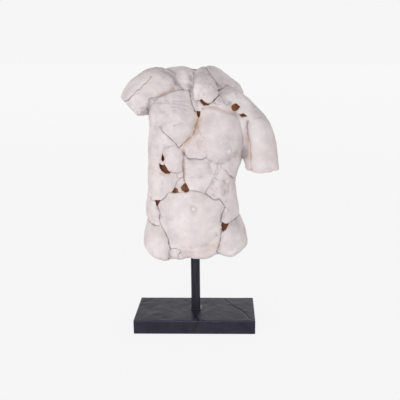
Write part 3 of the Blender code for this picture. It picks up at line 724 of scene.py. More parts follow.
# %% Cracks of the front and back
# Line (x, z), half width, depth, how dark it is from 0 to 1
FRONT_CRACKS = (
    (((-4, 345), (-4, 337), (-1, 322), (4, 306), (8, 298)), 1.4, 2.4, 0.85),
    (((11, 284), (8, 274), (5, 262), (2, 252)), 1.2, 1.0, 0.45),
    (((-56, 265), (-49, 257), (-43, 252), (-37, 245), (-31, 238), (-27, 232)), 1.2, 2.0, 0.9),
    (((-28, 230), (-24, 231), (-18, 236)), 1.5, 1.8, 0.9),
    (((-18, 236), (-10, 242), (-1, 249)), 1.1, 1.0, 0.45),
    (((-18, 220), (-13, 213), (-7, 209)), 2.4, 2.6, 0.75),
    (((-7, 209), (8, 210), (17, 207), (22, 208), (26, 211)), 1.2, 2.2, 0.8),
    (((-17, 219), (-17, 207), (-19, 191), (-17, 178), (-16, 164)), 1.3, 2.0, 0.4),
    (((-20, 184), (-30, 181), (-41, 181)), 1.1, 1.4, 0.2),
    (((-19, 173), (-24, 170), (-29, 164), (-34, 154)), 1.1, 1.6, 0.75),
    (((-30, 181), (-29, 172), (-24, 170)), 1.0, 0.9, 0.45),
    (((-7, 146), (4, 146), (12, 144), (24, 140)), 1.1, 1.6, 0.45),
    (((24, 140), (30, 136), (36, 131), (45, 127), (53, 127), (59, 120), (64, 112), (58, 101), (55, 83)),
     1.2, 2.2, 0.75),
    (((56, 70), (55, 53), (52, 40), (50, 30), (47, 22), (48, -14)), 1.2, 2.4, 0.8),
    (((70, 77), (86, 84), (120, 98)), 1.1, 1.4, 0.15),
    (((-62, 125), (-54, 132), (-49, 141)), 1.3, 2.0, 0.8),
    (((-49, 141), (-33, 143), (-8, 145)), 1.2, 1.6, 0.3),
    (((-70, 111), (-66, 98), (-68, 84), (-66, 76), (-56, 61), (-51, 48), (-48, 34), (-46, 28)),
     1.3, 2.6, 0.85),
    (((-46, 28), (-38, 30), (-30, 30), (-23, 26), (-24, 19), (-30, 14), (-33, -14)), 1.2, 2.0, 0.7),
    (((-46, 28), (-49, 20), (-50, -14)), 1.3, 2.2, 0.7),
    (((-120, 82), (-96, 80), (-88, 77), (-80, 73), (-68, 72)), 1.2, 2.0, 0.75),
    (((-94, 132), (-76, 120)), 1.2, 1.2, 0.45),
    (((50, 196), (44, 185), (39, 172), (35, 159), (25, 143)), 1.0, 1.0, 0.4),
    (((57, 192), (54, 184)), 1.0, 0.8, 0.3),
    (((63, 185), (72, 172), (80, 165)), 1.1, 1.2, 0.5),
    (((64, 112), (70, 104)), 1.0, 1.0, 0.4),
    (((-76, 360), (-81, 352), (-94, 340), (-99, 336), (-105, 334), (-111, 325), (-121, 317), (-150, 300)),
     1.2, 2.0, 0.7),
    (((-22, 343), (-16, 340), (-9, 341), (-4, 344)), 1.6, 2.4, 0.6),
    (((25, 379), (25, 374), (26, 369), (29, 364), (33, 359), (38, 353), (43, 348)), 1.1, 1.6, 0.7),
    (((58, 342), (53, 338), (46, 333)), 1.9, 3.4, 1.0),
    (((46, 333), (43, 331), (48, 327), (47, 322)), 1.3, 1.8, 0.6),
    (((107, 277), (106, 272), (103, 265)), 1.6, 2.2, 0.7),
    (((103, 265), (107, 241), (110, 235), (112, 229), (111, 220), (113, 207), (113, 150)), 1.3, 2.2, 0.3),
    (((123, 284), (129, 283), (133, 288)), 1.0, 0.9, 0.4),
    (((12, 262), (17, 255), (23, 249), (26, 243)), 1.1, 0.9, 0.4),
    (((13, 321), (22, 318), (28, 314), (34, 311)), 1.3, 2.0, 0.6),
)
BACK_CRACKS = (
    (((-96, 232), (-60, 246), (-20, 222), (6, 244), (30, 214), (66, 196), (94, 204)), 1.7, 1.8, 0.5),
    (((6, 244), (8, 330), (-20, 352)), 1.6, 1.6, 0.5),
    (((-110, 98), (-70, 108), (-24, 92), (2, 104), (40, 96), (80, 110), (110, 98)), 1.7, 1.8, 0.5),
    (((2, 104), (6, 150), (-18, 222)), 1.6, 1.6, 0.4),
)
SHOULDER_WIDTH = 4.5
SHOULDER_SHARE = 0.40


def crack_depths(x, z, cracks, width_share):
    """The deepest crack: depth times (1 less distance / half width, at least 0, plus a wide low bell)."""
    groove = np.zeros(x.shape)
    for line, width, depth, _ in cracks:
        away = distance_to(x, z, line)
        slot = np.clip(1 - away / (width * width_share), 0, 1)
        rounding = SHOULDER_SHARE * np.exp(-((away / SHOULDER_WIDTH) ** 2))
        groove = np.maximum(groove, depth * (slot + rounding))
    return groove


def crack_lines(x, z, cracks, width):
    """How dark the cracks are here: the darkness of each, easing to 0 over width from its line."""
    dark = np.zeros(x.shape)
    for line, _, _, darkness in cracks:
        dark = np.maximum(dark, darkness * ease(1 - distance_to(x, z, line) / width))
    return dark


print(len(FRONT_CRACKS), "cracks in front,", len(BACK_CRACKS), "behind")

# %% [markdown]
# Small parts of the front
#
# The navel is a shallow dish with a round knob in it, and each nipple is a low bump. They are drawn
# with the same bell shape as the furrows.

# %% Navel and nipples
# Places (x, z), and the width and height of each bell
NAVEL = (2, 112)
NAVEL_DISH = (8.0, 2.6)
NAVEL_KNOB = (2.5, 4.2)
NIPPLES = ((-62, 269), (66, 225))
NIPPLE_BUMP = (3.0, 1.2)


def bell(x, z, middle, width):
    """e to the minus (distance from the middle / width) squared."""
    return np.exp(-(((x - middle[0]) ** 2 + (z - middle[1]) ** 2) / width**2))


def small_parts(x, z):
    """The knob's bell less the dish's, plus a bell for each nipple."""
    height = NAVEL_KNOB[1] * bell(x, z, NAVEL, NAVEL_KNOB[0])
    height -= NAVEL_DISH[1] * bell(x, z, NAVEL, NAVEL_DISH[0])
    for middle in NIPPLES:
        height += NIPPLE_BUMP[1] * bell(x, z, middle, NIPPLE_BUMP[0])
    return height


print("navel at", NAVEL, "nipples at", NIPPLES)

# %% [markdown]
# Carving the skin
#
# All the heights are added along the skin's normals at once: those of the front where the skin looks
# forward, those of the back where it looks away, and a blend at the sides. The lower edge is then
# lifted to its ragged outline, and the breaks of the arms get their lumps. The place that each point
# was drawn at is kept with it, so that the finish can find the same cracks later.

# %% Carve
# Lower edge: across the figure, how far it is lifted
HEM = (
    (-110, 14),
    (-92, 4),
    (-75, -1),
    (-52, -1),
    (-45, 2.5),
    (-24, 3.5),
    (-18, 6.5),
    (5, 5.5),
    (30, 7),
    (50, 13),
    (60, 9),
    (76, 4),
    (92, 8),
    (112, 17),
)
HEM_REACH = 34.0
# Upper edge: across the figure, how far what looks up is lowered, most of all in the notch of the neck
CROWN = (
    (-60, 0),
    (-40, 1.0),
    (-13, 2.5),
    (1, 6.0),
    (7, 6.0),
    (13, 2.8),
    (22, 1.8),
    (62, 1.6),
    (80, 2.7),
    (95, 3.4),
    (108, 2.2),
    (125, 0.8),
    (150, 0),
)
# Size of the lumps, height, seed
HAND_WORK = ((24.0, 0.50, 10), (12.0, 0.45, 11), (6.0, 0.28, 12), (2.8, 0.12, 13))
CREASES = ((22.0, 0.9, 14), (10.0, 0.5, 15))
BREAK_LUMPS = ((10.0, 2.0, 21), (4.0, 1.5, 22))
BREAK_REACH = 14.0
# A break's lumps are taller than wide, because a height is made smaller before they are looked up
BREAK_STRETCH = (1, 1, 0.6)
# What is taken off a crease, so that creases raise the skin about as much as they sink it
CREASE_MEAN = 0.25
# Even share, uneven share, size and seed of the cracks' width, and the least and most that it may be
CRACK_WIDTH = (1, 1.0, 6.0, 5)
CRACK_WIDTH_LIMITS = (0.3, 1.7)
# How quickly the front gives way to the back over the sides
SIDE_BLEND = 2.0
WRINKLE_SEED = 24
# The upper edge is lowered above this height, and in full where the skin looks up by this share
CROWN_ABOVE = 250
CROWN_FACING = 0.5
# An arm is everything farther from the figure's middle than this
ARM_BEGINS = 100
# Side of the figure, height that the arm stays above, breaks
ARM_ENDS = ((-1, 250, RAISED_ARM_BREAKS), (1, 150, HANGING_ARM_BREAKS))
# Middle (x, z), reach, size of the wrinkles, how much longer they are upwards, height
WRINKLED = (
    ((54, 166), 24.0, 7.0, 1.0, 1.2),
    ((26, 327), 18.0, 4.5, 3.0, 1.5),
    ((62, 318), 16.0, 6.0, 0.8, 0.9),
    ((46, 22), 9.0, 3.0, 1.0, 1.0),
    ((-96, 296), 16.0, 5.0, 1.0, 1.0),
)


def read_points(mesh, name="co"):
    """One row of three numbers for each point of the mesh."""
    flat = np.empty(len(mesh.vertices) * 3, np.float32)
    mesh.vertices.foreach_get(name, flat)
    return flat.reshape(-1, 3).astype(float)


def write_attribute(mesh, name, values, kind="FLOAT"):
    """Keeps a number, or a row of three, with every point of the mesh."""
    made = mesh.attributes.new(name, kind, "POINT")
    made.data.foreach_set("vector" if kind == "FLOAT_VECTOR" else "value", values.astype(np.float32).ravel())


def front_share(normals):
    """1 where the skin looks forward, 0 where it looks back, easing over the sides."""
    return ease(0.5 - normals[:, 1] * SIDE_BLEND)


print(len(HEM), "places along the lower edge,", len(CROWN), "along the upper one")

# %% [markdown]
# Raising and sinking the skin
#
# What a point gets depends on where it was drawn: muscles, plates and cracks of the front or of the
# back, then the marks of hand work everywhere, the rough breaks of the arms, and the wrinkled
# places. It all adds up to one number for each point, the height that it moves along its normal.

# %% Add up the relief
points, normals = read_points(skin), read_points(skin, "normal")
drawn_at = points.copy()
x, z = points[:, 0], points[:, 2]
stray_x, stray_z = wander(x, z)
crack_share = np.clip(patchy(points, CRACK_WIDTH), *CRACK_WIDTH_LIMITS)
front = muscles(x, z, FRONT_PADS, FRONT_FURROWS) + small_parts(x, z)
front += plate_heights(x + stray_x, z + stray_z, FRONT_PLATES)
front -= crack_depths(x + stray_x, z + stray_z, FRONT_CRACKS, crack_share)
back = muscles(x, z, BACK_PADS, BACK_FURROWS)
back += plate_heights(x + stray_x, z + stray_z, BACK_PLATES)
back -= crack_depths(x + stray_x, z + stray_z, BACK_CRACKS, crack_share)
looks_front = front_share(normals)
rise = front * looks_front + back * (1 - looks_front)
# What looks down keeps less of the relief, the more the straighter down it looks
upright = np.clip(1 - normals[:, 2] ** 2, 0, 1) ** 0.5
rise *= np.where(normals[:, 2] < 0, upright, 1)
for size, height, seed in HAND_WORK:
    rise += height * lumps(points, size, seed)
for size, height, seed in CREASES:
    rise += height * (np.abs(lumps(points, size, seed)) - CREASE_MEAN)
broken = np.zeros(len(points))
for arm_side, arm_low, arm_breaks in ARM_ENDS:
    at_arm = (x * arm_side > ARM_BEGINS) & (z > arm_low)
    for point, facing in arm_breaks:
        below = (points - point) @ np.array(facing)
        broken = np.maximum(broken, at_arm * ease(1 + below / BREAK_REACH))
for size, height, seed in BREAK_LUMPS:
    rise += height * broken * lumps(points * BREAK_STRETCH, size, seed)
for middle, reach, size, longer, height in WRINKLED:
    wrinkles = lumps(points * (1, 1, 1 / longer), size, WRINKLE_SEED)
    rise += height * looks_front * bell(x, z, middle, reach) * wrinkles
points += normals * rise[:, None]
print("relief between", round(rise.min(), 1), "and", round(rise.max(), 1), "mm")

# %% Lift the lower edge and lower the upper one
hem = smooth_through(HEM, np.clip(x, HEM[0][0], HEM[-1][0]))[:, 0]
points[:, 2] += hem * (1 - ease(points[:, 2] / HEM_REACH))
crown = smooth_through(CROWN, np.clip(x, CROWN[0][0], CROWN[-1][0]))[:, 0]
points[:, 2] -= crown * (z > CROWN_ABOVE) * ease(normals[:, 2] / CROWN_FACING)
# The lumps may not reach past the CAD torso, so its box in the figure's millimetres bounds every point
box_low, box_high = ((np.array(corner) - (0, 0, figure_zero)) / MM for corner in (cast_low, cast_high))
points = np.clip(points, box_low, box_high)
skin.vertices.foreach_set("co", points.astype(np.float32).ravel())
write_attribute(skin, "drawn_at", drawn_at, "FLOAT_VECTOR")
skin.update()
print("the figure runs from", points.min(axis=0).round(1), "to", points.max(axis=0).round(1), "mm")

# %% [markdown]
# Fewer faces
#
# The skin has as many small squares on the smooth back as along a crack. Merging the ones that lie
# almost flat keeps the detail and makes the piece light enough to share.

# %% Thin the skin out where it is plain
TORSO_TRIANGLES = 190000

thin_out = torso.modifiers.new("thin out", "DECIMATE")
thin_out.ratio = TORSO_TRIANGLES / (2 * len(skin.polygons))
thin_out.use_collapse_triangulate = True
skin = apply_modifiers(torso)
print("thinned:", len(skin.polygons), "faces")

# %% [markdown]
# Gaps
#
# Where a shard is missing, the cast has a hole with a pale wall and a brown floor a few millimetres
# down. Each gap's outline is drawn from the front, made ragged like the cracks that run into it, and
# carried straight back as a prism whose floor leans with the skin. One Boolean then cuts them all,
# together with the socket that the rod stands in. The floors keep a material of their own.

# %% Outlines of the gaps
GAPS = {
    "throat": ((15, 319), (19, 319), (25, 314), (29, 312), (35, 312), (30, 308), (23, 307), (17, 313)),
    "sternum": ((8, 297), (16, 296), (16, 289), (13, 284), (10, 288)),
    "shoulder": ((75, 308), (80, 310), (86, 309), (90, 304), (86, 298), (80, 295), (75, 298), (73, 303)),
    "armpit": ((87, 291), (93, 291), (96, 293), (104, 285), (98, 285), (92, 287)),
    "upper_rib": ((-56, 217), (-53, 212), (-55, 203), (-58, 201), (-61, 206), (-58, 214)),
    "lower_rib": ((-64, 198), (-57, 194), (-55, 196), (-50, 191), (-46, 184), (-41, 181), (-45, 178),
                  (-52, 177), (-59, 181), (-63, 190)),
    "abdomen_small": ((-34, 154), (-30, 151), (-27, 143), (-33, 141), (-40, 142), (-37, 148)),
    "abdomen": ((-15, 162), (-11, 157), (-6, 147), (-8, 143), (-13, 141), (-18, 144), (-22, 149),
                (-24, 153)),
    "left_loin": ((-76, 124), (-62, 125), (-67, 117), (-70, 110), (-74, 117)),
    "right_hip": ((55, 83), (63, 79), (70, 79), (66, 71), (58, 62), (55, 71)),
}
# How far a gap's prism reaches behind and ahead of the skin
GAP_DEPTH = 6.0
GAP_AHEAD = 14.0
GAP_STEP = 1.6
GAP_NICKS = 0.35
GAP_SEED = 40
# Where the line that looks for the skin starts, and the least share by which a gap's floor faces it
LOOK_FROM = -200
LEAST_FACING = 0.6
FLOOR_SLOT = 1


def ragged(outline, step, seed):
    """Points every step along a closed outline, each pushed off by a small random amount, less the wander."""
    ends = np.array(outline + outline[:1], float)
    lengths = np.linalg.norm(np.diff(ends, axis=0), axis=1)
    run = np.concatenate([[0], np.cumsum(lengths)])
    at = np.linspace(0, run[-1], int(run[-1] / step), endpoint=False)
    line = np.column_stack([np.interp(at, run, ends[:, 0]), np.interp(at, run, ends[:, 1])])
    line += np.random.default_rng(seed).uniform(-GAP_NICKS, GAP_NICKS, line.shape)
    return line - np.column_stack(wander(line[:, 0], line[:, 1]))


def prism_faces(count, first):
    """The two caps and the wall of a prism, for rings of count points that start at number first."""
    k = np.arange(count)
    after = (k + 1) % count
    wall = first + np.column_stack([k, after, after + count, k + count])
    return wall.tolist(), [(first + k)[::-1].tolist(), (first + k + count).tolist()]


surface = BVHTree.FromPolygons(
    [tuple(p) for p in read_points(skin)], [tuple(p.vertices) for p in skin.polygons]
)
cut_points, cut_faces, cut_slots = [], [], []
for seed, outline in enumerate(GAPS.values()):
    rim = ragged(outline, GAP_STEP, GAP_SEED + seed)
    middle = rim.mean(axis=0)
    at, facing, _, _ = surface.ray_cast(Vector((middle[0], LOOK_FROM, middle[1])), Vector((0, 1, 0)))
    lean = ((rim - middle) @ np.array([facing.x, facing.z])) / max(-facing.y, LEAST_FACING)
    wall, caps = prism_faces(len(rim), sum(map(len, cut_points)))
    ahead = np.column_stack([rim[:, 0], at.y - GAP_AHEAD + lean, rim[:, 1]])
    behind = np.column_stack([rim[:, 0], at.y + GAP_DEPTH + lean, rim[:, 1]])
    cut_points += [ahead, behind]
    cut_faces += wall + caps
    cut_slots += [0] * (len(wall) + 1) + [FLOOR_SLOT]
print(len(GAPS), "gaps with", len(cut_faces), "faces")

# %% Cut the gaps and the rod's socket
# The socket's prism starts well below the figure
SOCKET_START = -60.0

socket_half = (rod_high.x - rod_low.x) / 2 / MM + FIT_GAP / MM
rod_middle = (rod_high.y + rod_low.y) / 2 / MM
socket_top = (rod_high.z + FIT_GAP - figure_zero) / MM
socket_square = np.array([(-1, -1), (1, -1), (1, 1), (-1, 1)]) * socket_half + (0, rod_middle)
wall, caps = prism_faces(4, sum(map(len, cut_points)))
cut_points += [np.column_stack([socket_square, np.full(4, height)]) for height in (SOCKET_START, socket_top)]
cut_faces += wall + caps
cut_slots += [0] * 6

cutter_mesh = bpy.data.meshes.new("gaps")
cutter_mesh.from_pydata(np.concatenate(cut_points).tolist(), [], cut_faces)
cutter_mesh.polygons.foreach_set("material_index", cut_slots)
solid = bmesh.new()
solid.from_mesh(cutter_mesh)
bmesh.ops.recalc_face_normals(solid, faces=solid.faces)
solid.to_mesh(cutter_mesh)
solid.free()
cutter = bpy.data.objects.new("gaps", cutter_mesh)
scene.collection.objects.link(cutter)

plaster, plaster_tree, plaster_shader = start_material("cast stone plaster")
clay, clay_tree, clay_shader = start_material("brown casting clay")
for mesh in (skin, cutter_mesh):
    mesh.materials.append(plaster)
    mesh.materials.append(clay)
take_out = torso.modifiers.new("gaps", "BOOLEAN")
take_out.operation = "DIFFERENCE"
take_out.solver = "EXACT"
take_out.object = cutter
skin = apply_modifiers(torso)
bpy.data.objects.remove(cutter)
bpy.data.meshes.remove(cutter_mesh)
floors = sum(p.material_index == FLOOR_SLOT for p in skin.polygons)
print("cut:", len(skin.polygons), "faces,", floors, "on the floors")

# %% [markdown]
# Where the finish is dirty or stained, and where shade and light are painted on
#
# The maker of such a cast rubs a thin dark wash into it and wipes it off again, so it stays in the
# cracks, and lets an ochre stain run along the joints. The hollows and what looks down are painted
# darker as shade, and a few places paler as painted light. These amounts are worked out once for
# every point and kept with the mesh, and the material only turns them into colours.

# %% Amounts of dirt, stain, painted shade and painted light for every point
# Line (x, z), half width, strength
STAINS = (
    (((12, 300), (13, 284), (9, 268), (2, 254), (-10, 240), (-18, 228)), 7.0, 0.9),
    (((-17, 226), (-15, 207), (-16, 190), (-15, 168)), 4.0, 0.8),
    (((14, 318), (20, 308), (46, 305), (66, 300), (88, 291)), 5.0, 0.8),
    (((98, 288), (105, 270), (103, 250), (108, 230), (112, 205)), 4.5, 0.65),
    (((-60, 327), (-48, 332), (-36, 336)), 5.0, 0.9),
    (((-40, 16), (-12, 20), (14, 22), (36, 30), (48, 44)), 9.0, 0.35),
    (((-40, 142), (-8, 144), (12, 142)), 3.0, 0.5),
    (((84, 300), (98, 286)), 6.0, 0.7),
)
# Middle (x, z), reach and strength of places where the ochre stain has gathered
WARM_PLACES = (
    ((-1, 114), 6.5, 1.2),
    ((2, 104), 7.0, 1.0),
    ((6, 244), 22.0, 0.35),
    ((-40, 262), 18.0, 0.15),
    ((54, 70), 10.0, 0.4),
)
# Middle (x, z), reach and strength of places with rough speckled plaster
SPECKLED = (((48, 236), 30.0, 1.0), ((70, 226), 18.0, 0.8), ((-10, 84), 34.0, 0.45), ((70, 128), 18.0, 0.6))
# Middle (x, z), reach and strength of places painted paler as light, down to the white: lit patches,
# and painted highlights on the navel's knob and the right nipple
PAINTED_LIGHT_PLACES = (
    (NAVEL, 2.3, 0.9),
    ((64, 224), 2.2, 1.2),
    ((100, 326), 20.0, 1.1),
    ((133, 251), 26.0, 0.35),
    ((-5, 100), 34.0, 0.35),
    ((15, 178), 22.0, 0.3),
    ((-66, 37), 26.0, 0.15),
    ((-97, 354), 20.0, 0.3),
    ((-49, 340), 14.0, 0.3),
    ((62, 291), 22.0, 0.45),
    ((90, 263), 14.0, 0.4),
    ((-13, 363), 12.0, 0.3),
)
# Middle (x, z), reach and strength of places painted darker, with the grey of the painted shade
DUSKY_PLACES = (
    (NAVEL, 5.5, 0.85),
    ((-9, 124), 10.0, 0.4),
    ((-58, 300), 32.0, 0.95),
    ((68, 147), 20.0, 0.6),
    ((-77, 187), 16.0, 0.7),
    ((45, 82), 20.0, 0.75),
)
# Middle (x, z), reach and strength of the gaps whose floors are golden, not reddish
GOLDEN_FLOORS = (((81, 303), 16.0, 1), ((25, 312), 12.0, 1), ((-34, 148), 11.0, 1), ((-14, 151), 11.0, 1))
# Carving moves no point farther than this
FARTHEST_CARVED = 25.0
CRACK_WASH = 1.1
HOLLOW_ROUNDS = 14
# Strength of the painted shade underneath, and the share by which the skin looks down where it starts
UNDERSIDE_SHADE = 0.55
UNDERSIDE_FROM = 0.15
# Half width and strength of the stain round a gap
GAP_STAIN = (3.0, 0.6)
# Even share, uneven share, size and seed of the dirt, the stain and the painted light
DIRT_PATCHES = (0.65, 0.9, 7.0, 32)
STAIN_PATCHES = (0.75, 0.45, 9.0, 31)
PAINTED_LIGHT_PATCHES = (0.85, 0.5, 11.0, 33)


def neighbours_mean(values, edges, count):
    """The mean of the values at the points that each point shares an edge with."""
    ends = np.concatenate([edges[:, 0], edges[:, 1]])
    others = np.concatenate([edges[:, 1], edges[:, 0]])
    number = np.maximum(np.bincount(ends, minlength=count), 1)
    return np.column_stack(
        [np.bincount(ends, values[others, k], count) / number for k in range(values.shape[1])]
    )


def bells(x, z, places):
    """The sum of the places' bells, each times its strength."""
    return sum(strength * bell(x, z, middle, reach) for middle, reach, strength in places)


print(len(STAINS), "stained lines,", len(PAINTED_LIGHT_PLACES), "pale places,", len(DUSKY_PLACES), "dusky ones")

# %% [markdown]
# Working out the amounts
#
# A hollow is where a point lies deeper than its neighbours do on the mean, taken over several
# rounds, and it is painted darker as shade, as is what looks down. The dirt follows the cracks, and
# the stain follows its lines, its places and the rims of the gaps. Lumps break both up, because
# nothing that was wiped by hand is even.

# %% Keep the amounts with the points
points, normals = read_points(skin), read_points(skin, "normal")
drawn = np.empty(len(points) * 3, np.float32)
skin.attributes["drawn_at"].data.foreach_get("vector", drawn)
drawn = drawn.reshape(-1, 3).astype(float)
# Cutting gives its new points another point's place, or none, so a point is new
# if it lies farther from its place than carving moves any
unknown = ~drawn.any(axis=1) | (np.linalg.norm(points - drawn, axis=1) > FARTHEST_CARVED)
drawn[unknown] = points[unknown]
edges = np.empty(len(skin.edges) * 2, np.int32)
skin.edges.foreach_get("vertices", edges)
edges = edges.reshape(-1, 2)

# How deep each point lies below its smoothed neighbours: it is painted darker as shade in the hollows
smoothed = points
for _ in range(HOLLOW_ROUNDS):
    smoothed = neighbours_mean(smoothed, edges, len(points))
hollow = np.einsum("ij,ij->i", smoothed - points, normals)

x, z = drawn[:, 0], drawn[:, 2]
stray_x, stray_z = wander(x, z)
looks_front = front_share(normals)
lines_front = crack_lines(x + stray_x, z + stray_z, FRONT_CRACKS, CRACK_WASH)
lines_back = crack_lines(x + stray_x, z + stray_z, BACK_CRACKS, CRACK_WASH)
in_front = drawn[:, 1] < 0
dirt = np.where(in_front, lines_front, lines_back) * np.clip(patchy(points, DIRT_PATCHES), 0, 1)
stain = np.zeros(len(points))
for line, width, strength in STAINS:
    stain = np.maximum(stain, strength * np.exp(-((distance_to(x, z, line) / width) ** 2)))
for middle, width, strength in WARM_PLACES:
    stain = np.maximum(stain, strength * bell(x, z, middle, width))
for outline in GAPS.values():
    edge = distance_to(x + stray_x, z + stray_z, outline + outline[:1])
    stain = np.maximum(stain, GAP_STAIN[1] * np.exp(-((edge / GAP_STAIN[0]) ** 2)))
stain *= in_front * patchy(points, STAIN_PATCHES) * (1 - bell(x, z, NAVEL, NAVEL_KNOB[0]))
# Painted shade: the dusky places and what looks down are darkened, and join the hollows' amount
dusky = bells(x, z, DUSKY_PLACES) * in_front + UNDERSIDE_SHADE * ease(-normals[:, 2] - UNDERSIDE_FROM)
for name, amounts in (
    # Painted light: the pale places are lightened towards white
    ("pale", bells(x, z, PAINTED_LIGHT_PLACES) * in_front * patchy(points, PAINTED_LIGHT_PATCHES)),
    ("hollow", hollow + dusky),
    ("dirt", dirt),
    ("stain", stain),
    ("speckled", bells(x, z, SPECKLED) * in_front),
    ("golden", bells(x, z, GOLDEN_FLOORS)),
):
    write_attribute(skin, name, amounts)
skin.attributes.remove(skin.attributes["drawn_at"])
print("hollow from", round(hollow.min(), 2), "to", round(hollow.max(), 2), "mm,", unknown.sum(), "new points")

# %% [markdown]
# Place the torso
#
# The figure's millimetres become metres, its zero goes where the rod says, and it stands in for the
# CAD torso, which carries the collisions. Broken rims stay sharp, and the rest is shaded smooth.

# %% Finish the torso piece
# Degrees between two faces, above which their edge stays sharp
SHARP_RIM = 48

skin.transform(Matrix.Translation((0, 0, figure_zero)) @ Matrix.Diagonal((MM, MM, MM, 1)))
skin.shade_smooth()
skin.set_sharp_from_angle(angle=math.radians(SHARP_RIM))
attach(torso, "root")
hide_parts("torso")
print("torso box in mm:", [round(v * 1000, 1) for v in torso.dimensions])

# %% [markdown]
# Cast stone plaster
#
# The cast is white plaster with stone powder: matt, off-white with a faint pink and lilac cast, and
# mottled, because it was sponged with a thin wash. The eye reads it as chalky, so it hardly shines.
# The hollows and what looks down are painted darker as shade, and a few places paler as painted
# light and highlights. The cracks are thin grey-brown lines, and the ochre stain is warmest where
# plates meet. The surface has grit of about half a millimetre and soft marks of a spatula. The
# grit is drawn at 1.5 mm, because half a millimetre is too fine to show.

# %% Plaster material
PLASTER_LIGHT = linear("#D8CFCE")
PLASTER_LILAC = linear("#BDB4B8")
PLASTER_WARM = linear("#CCBEB9")
# Grey of the painted shade in hollows and underneath, and of the darker specks of grit
SHADE_AND_GRIT_GREY = linear("#8E8286")
# White of the real flecks, and of the painted light and highlights at the pale places
FLECK_AND_HIGHLIGHT_WHITE = linear("#E6DFDE")
CRACK_DARK = linear("#51474B")
OCHRE = linear("#BA967A")
# Name of the marks, their size in metres, detail, roughness and distortion
PLASTER_MARKS = (
    ("mottle", 0.030, 4.0, 0.6, 0.0),
    ("warmth", 0.055, 2.0, 0.5, 0.6),
    ("grit", 0.0015, 3.0, 0.7, 0.0),
    ("spatula", 0.006, 3.0, 0.55, 0.0),
    ("flecks", 0.0048, 5.0, 0.78, 0.5),
)

place = add_node(plaster_tree, "ShaderNodeTexCoord", {}, {}).outputs["Object"]
marks = {
    name: add_node(
        plaster_tree, "ShaderNodeTexNoise", {},
        {"Vector": place, "Scale": 1 / size, "Detail": detail, "Roughness": rough, "Distortion": bent},
    ).outputs[0]
    for name, size, detail, rough, bent in PLASTER_MARKS
}
kept = {
    name: add_node(plaster_tree, "ShaderNodeAttribute", {"attribute_name": name}, {}).outputs["Fac"]
    for name in ("stain", "hollow", "speckled", "pale", "dirt")
}
stain_broken = add_node(
    plaster_tree, "ShaderNodeMath", {"operation": "MULTIPLY", "use_clamp": True},
    {0: kept["stain"], 1: marks["mottle"]},
)
fleck_share = add_node(
    plaster_tree, "ShaderNodeMapRange", {},
    {"Value": marks["flecks"], "From Min": 0.53, "From Max": 0.68, "To Max": 0.8},
)
# Real flecks where the plaster is speckled, plus painted light at the pale places
flecks_and_highlights = add_node(
    plaster_tree, "ShaderNodeMath", {"operation": "MULTIPLY_ADD", "use_clamp": True},
    {0: kept["speckled"], 1: fleck_share.outputs[0], 2: kept["pale"]},
)
# What each coat follows, where its share starts and is full, its most, how the share grows, its colour
plaster_colour = lay_coats(plaster_tree, PLASTER_LIGHT, (
    (marks["mottle"], 0.35, 0.68, 1.0, "LINEAR", PLASTER_LILAC),
    (marks["warmth"], 0.45, 0.75, 0.6, "LINEAR", PLASTER_WARM),
    (stain_broken.outputs[0], 0.05, 0.5, 0.75, "LINEAR", OCHRE),
    # Painted shade in the hollows, underneath and at the dusky places
    (kept["hollow"], 0.05, 1.1, 0.47, "SMOOTHSTEP", SHADE_AND_GRIT_GREY),
    (marks["grit"], 0.62, 0.78, 0.35, "LINEAR", SHADE_AND_GRIT_GREY),
    # Painted light and highlights at the pale places, over the real flecks
    (flecks_and_highlights.outputs[0], 0.0, 1.0, 1.0, "LINEAR", FLECK_AND_HIGHLIGHT_WHITE),
    (kept["dirt"], 0.0, 1.0, 1.0, "LINEAR", CRACK_DARK),
))
tooled = add_node(
    plaster_tree, "ShaderNodeBump", {}, {"Strength": 0.5, "Distance": 0.0008, "Height": marks["spatula"]}
)
gritty = add_node(
    plaster_tree, "ShaderNodeBump", {},
    {"Strength": 0.35, "Distance": 0.0003, "Height": marks["grit"], "Normal": tooled.outputs[0]},
)
feed(plaster_tree, plaster_shader, {
    "Base Color": plaster_colour, "Normal": gritty.outputs[0], "Roughness": 0.82, "Specular IOR Level": 0.3,
})
print("plaster:", len(plaster_tree.nodes), "nodes")

# %% [markdown]
# Brown casting clay
#
# The floors of the gaps are a rough golden brown, like clay or wood filler pressed in from behind,
# and darker where the dust of the wash has gathered.

# %% Floor material
CLAY_RED = linear("#704433")
CLAY_GOLDEN = linear("#9E6C4E")
CLAY_DARK = linear("#4A2A1E")

place = add_node(clay_tree, "ShaderNodeTexCoord", {}, {}).outputs["Object"]
clods = add_node(clay_tree, "ShaderNodeTexNoise", {}, {"Vector": place, "Scale": 1 / 0.005, "Detail": 4.0})
golden_here = add_node(clay_tree, "ShaderNodeAttribute", {"attribute_name": "golden"}, {})
clay_colour = lay_coats(clay_tree, CLAY_RED, (
    (golden_here.outputs["Fac"], 0.0, 1.0, 1.0, "LINEAR", CLAY_GOLDEN),
    (clods.outputs[0], 0.4, 0.7, 0.6, "LINEAR", CLAY_DARK),
))
cloddy = add_node(
    clay_tree, "ShaderNodeBump", {}, {"Strength": 0.7, "Distance": 0.001, "Height": clods.outputs[0]}
)
feed(clay_tree, clay_shader, {
    "Base Color": clay_colour, "Normal": cloddy.outputs[0], "Roughness": 0.9, "Specular IOR Level": 0.2,
})
print("clay:", len(clay_tree.nodes), "nodes")

# %% [markdown]
# The rod
#
# The rod is square steel, sprayed satin black. Its CAD shape is right, so it stays and only gets a
# better finish: the paint is faintly rippled like orange peel, streaked along the rod, and a little
# greyer where hands have rubbed it.

# %% Satin black paint on the rod
PAINT_BLACK = linear("#13121D")
PAINT_RUBBED = linear("#2A2933")

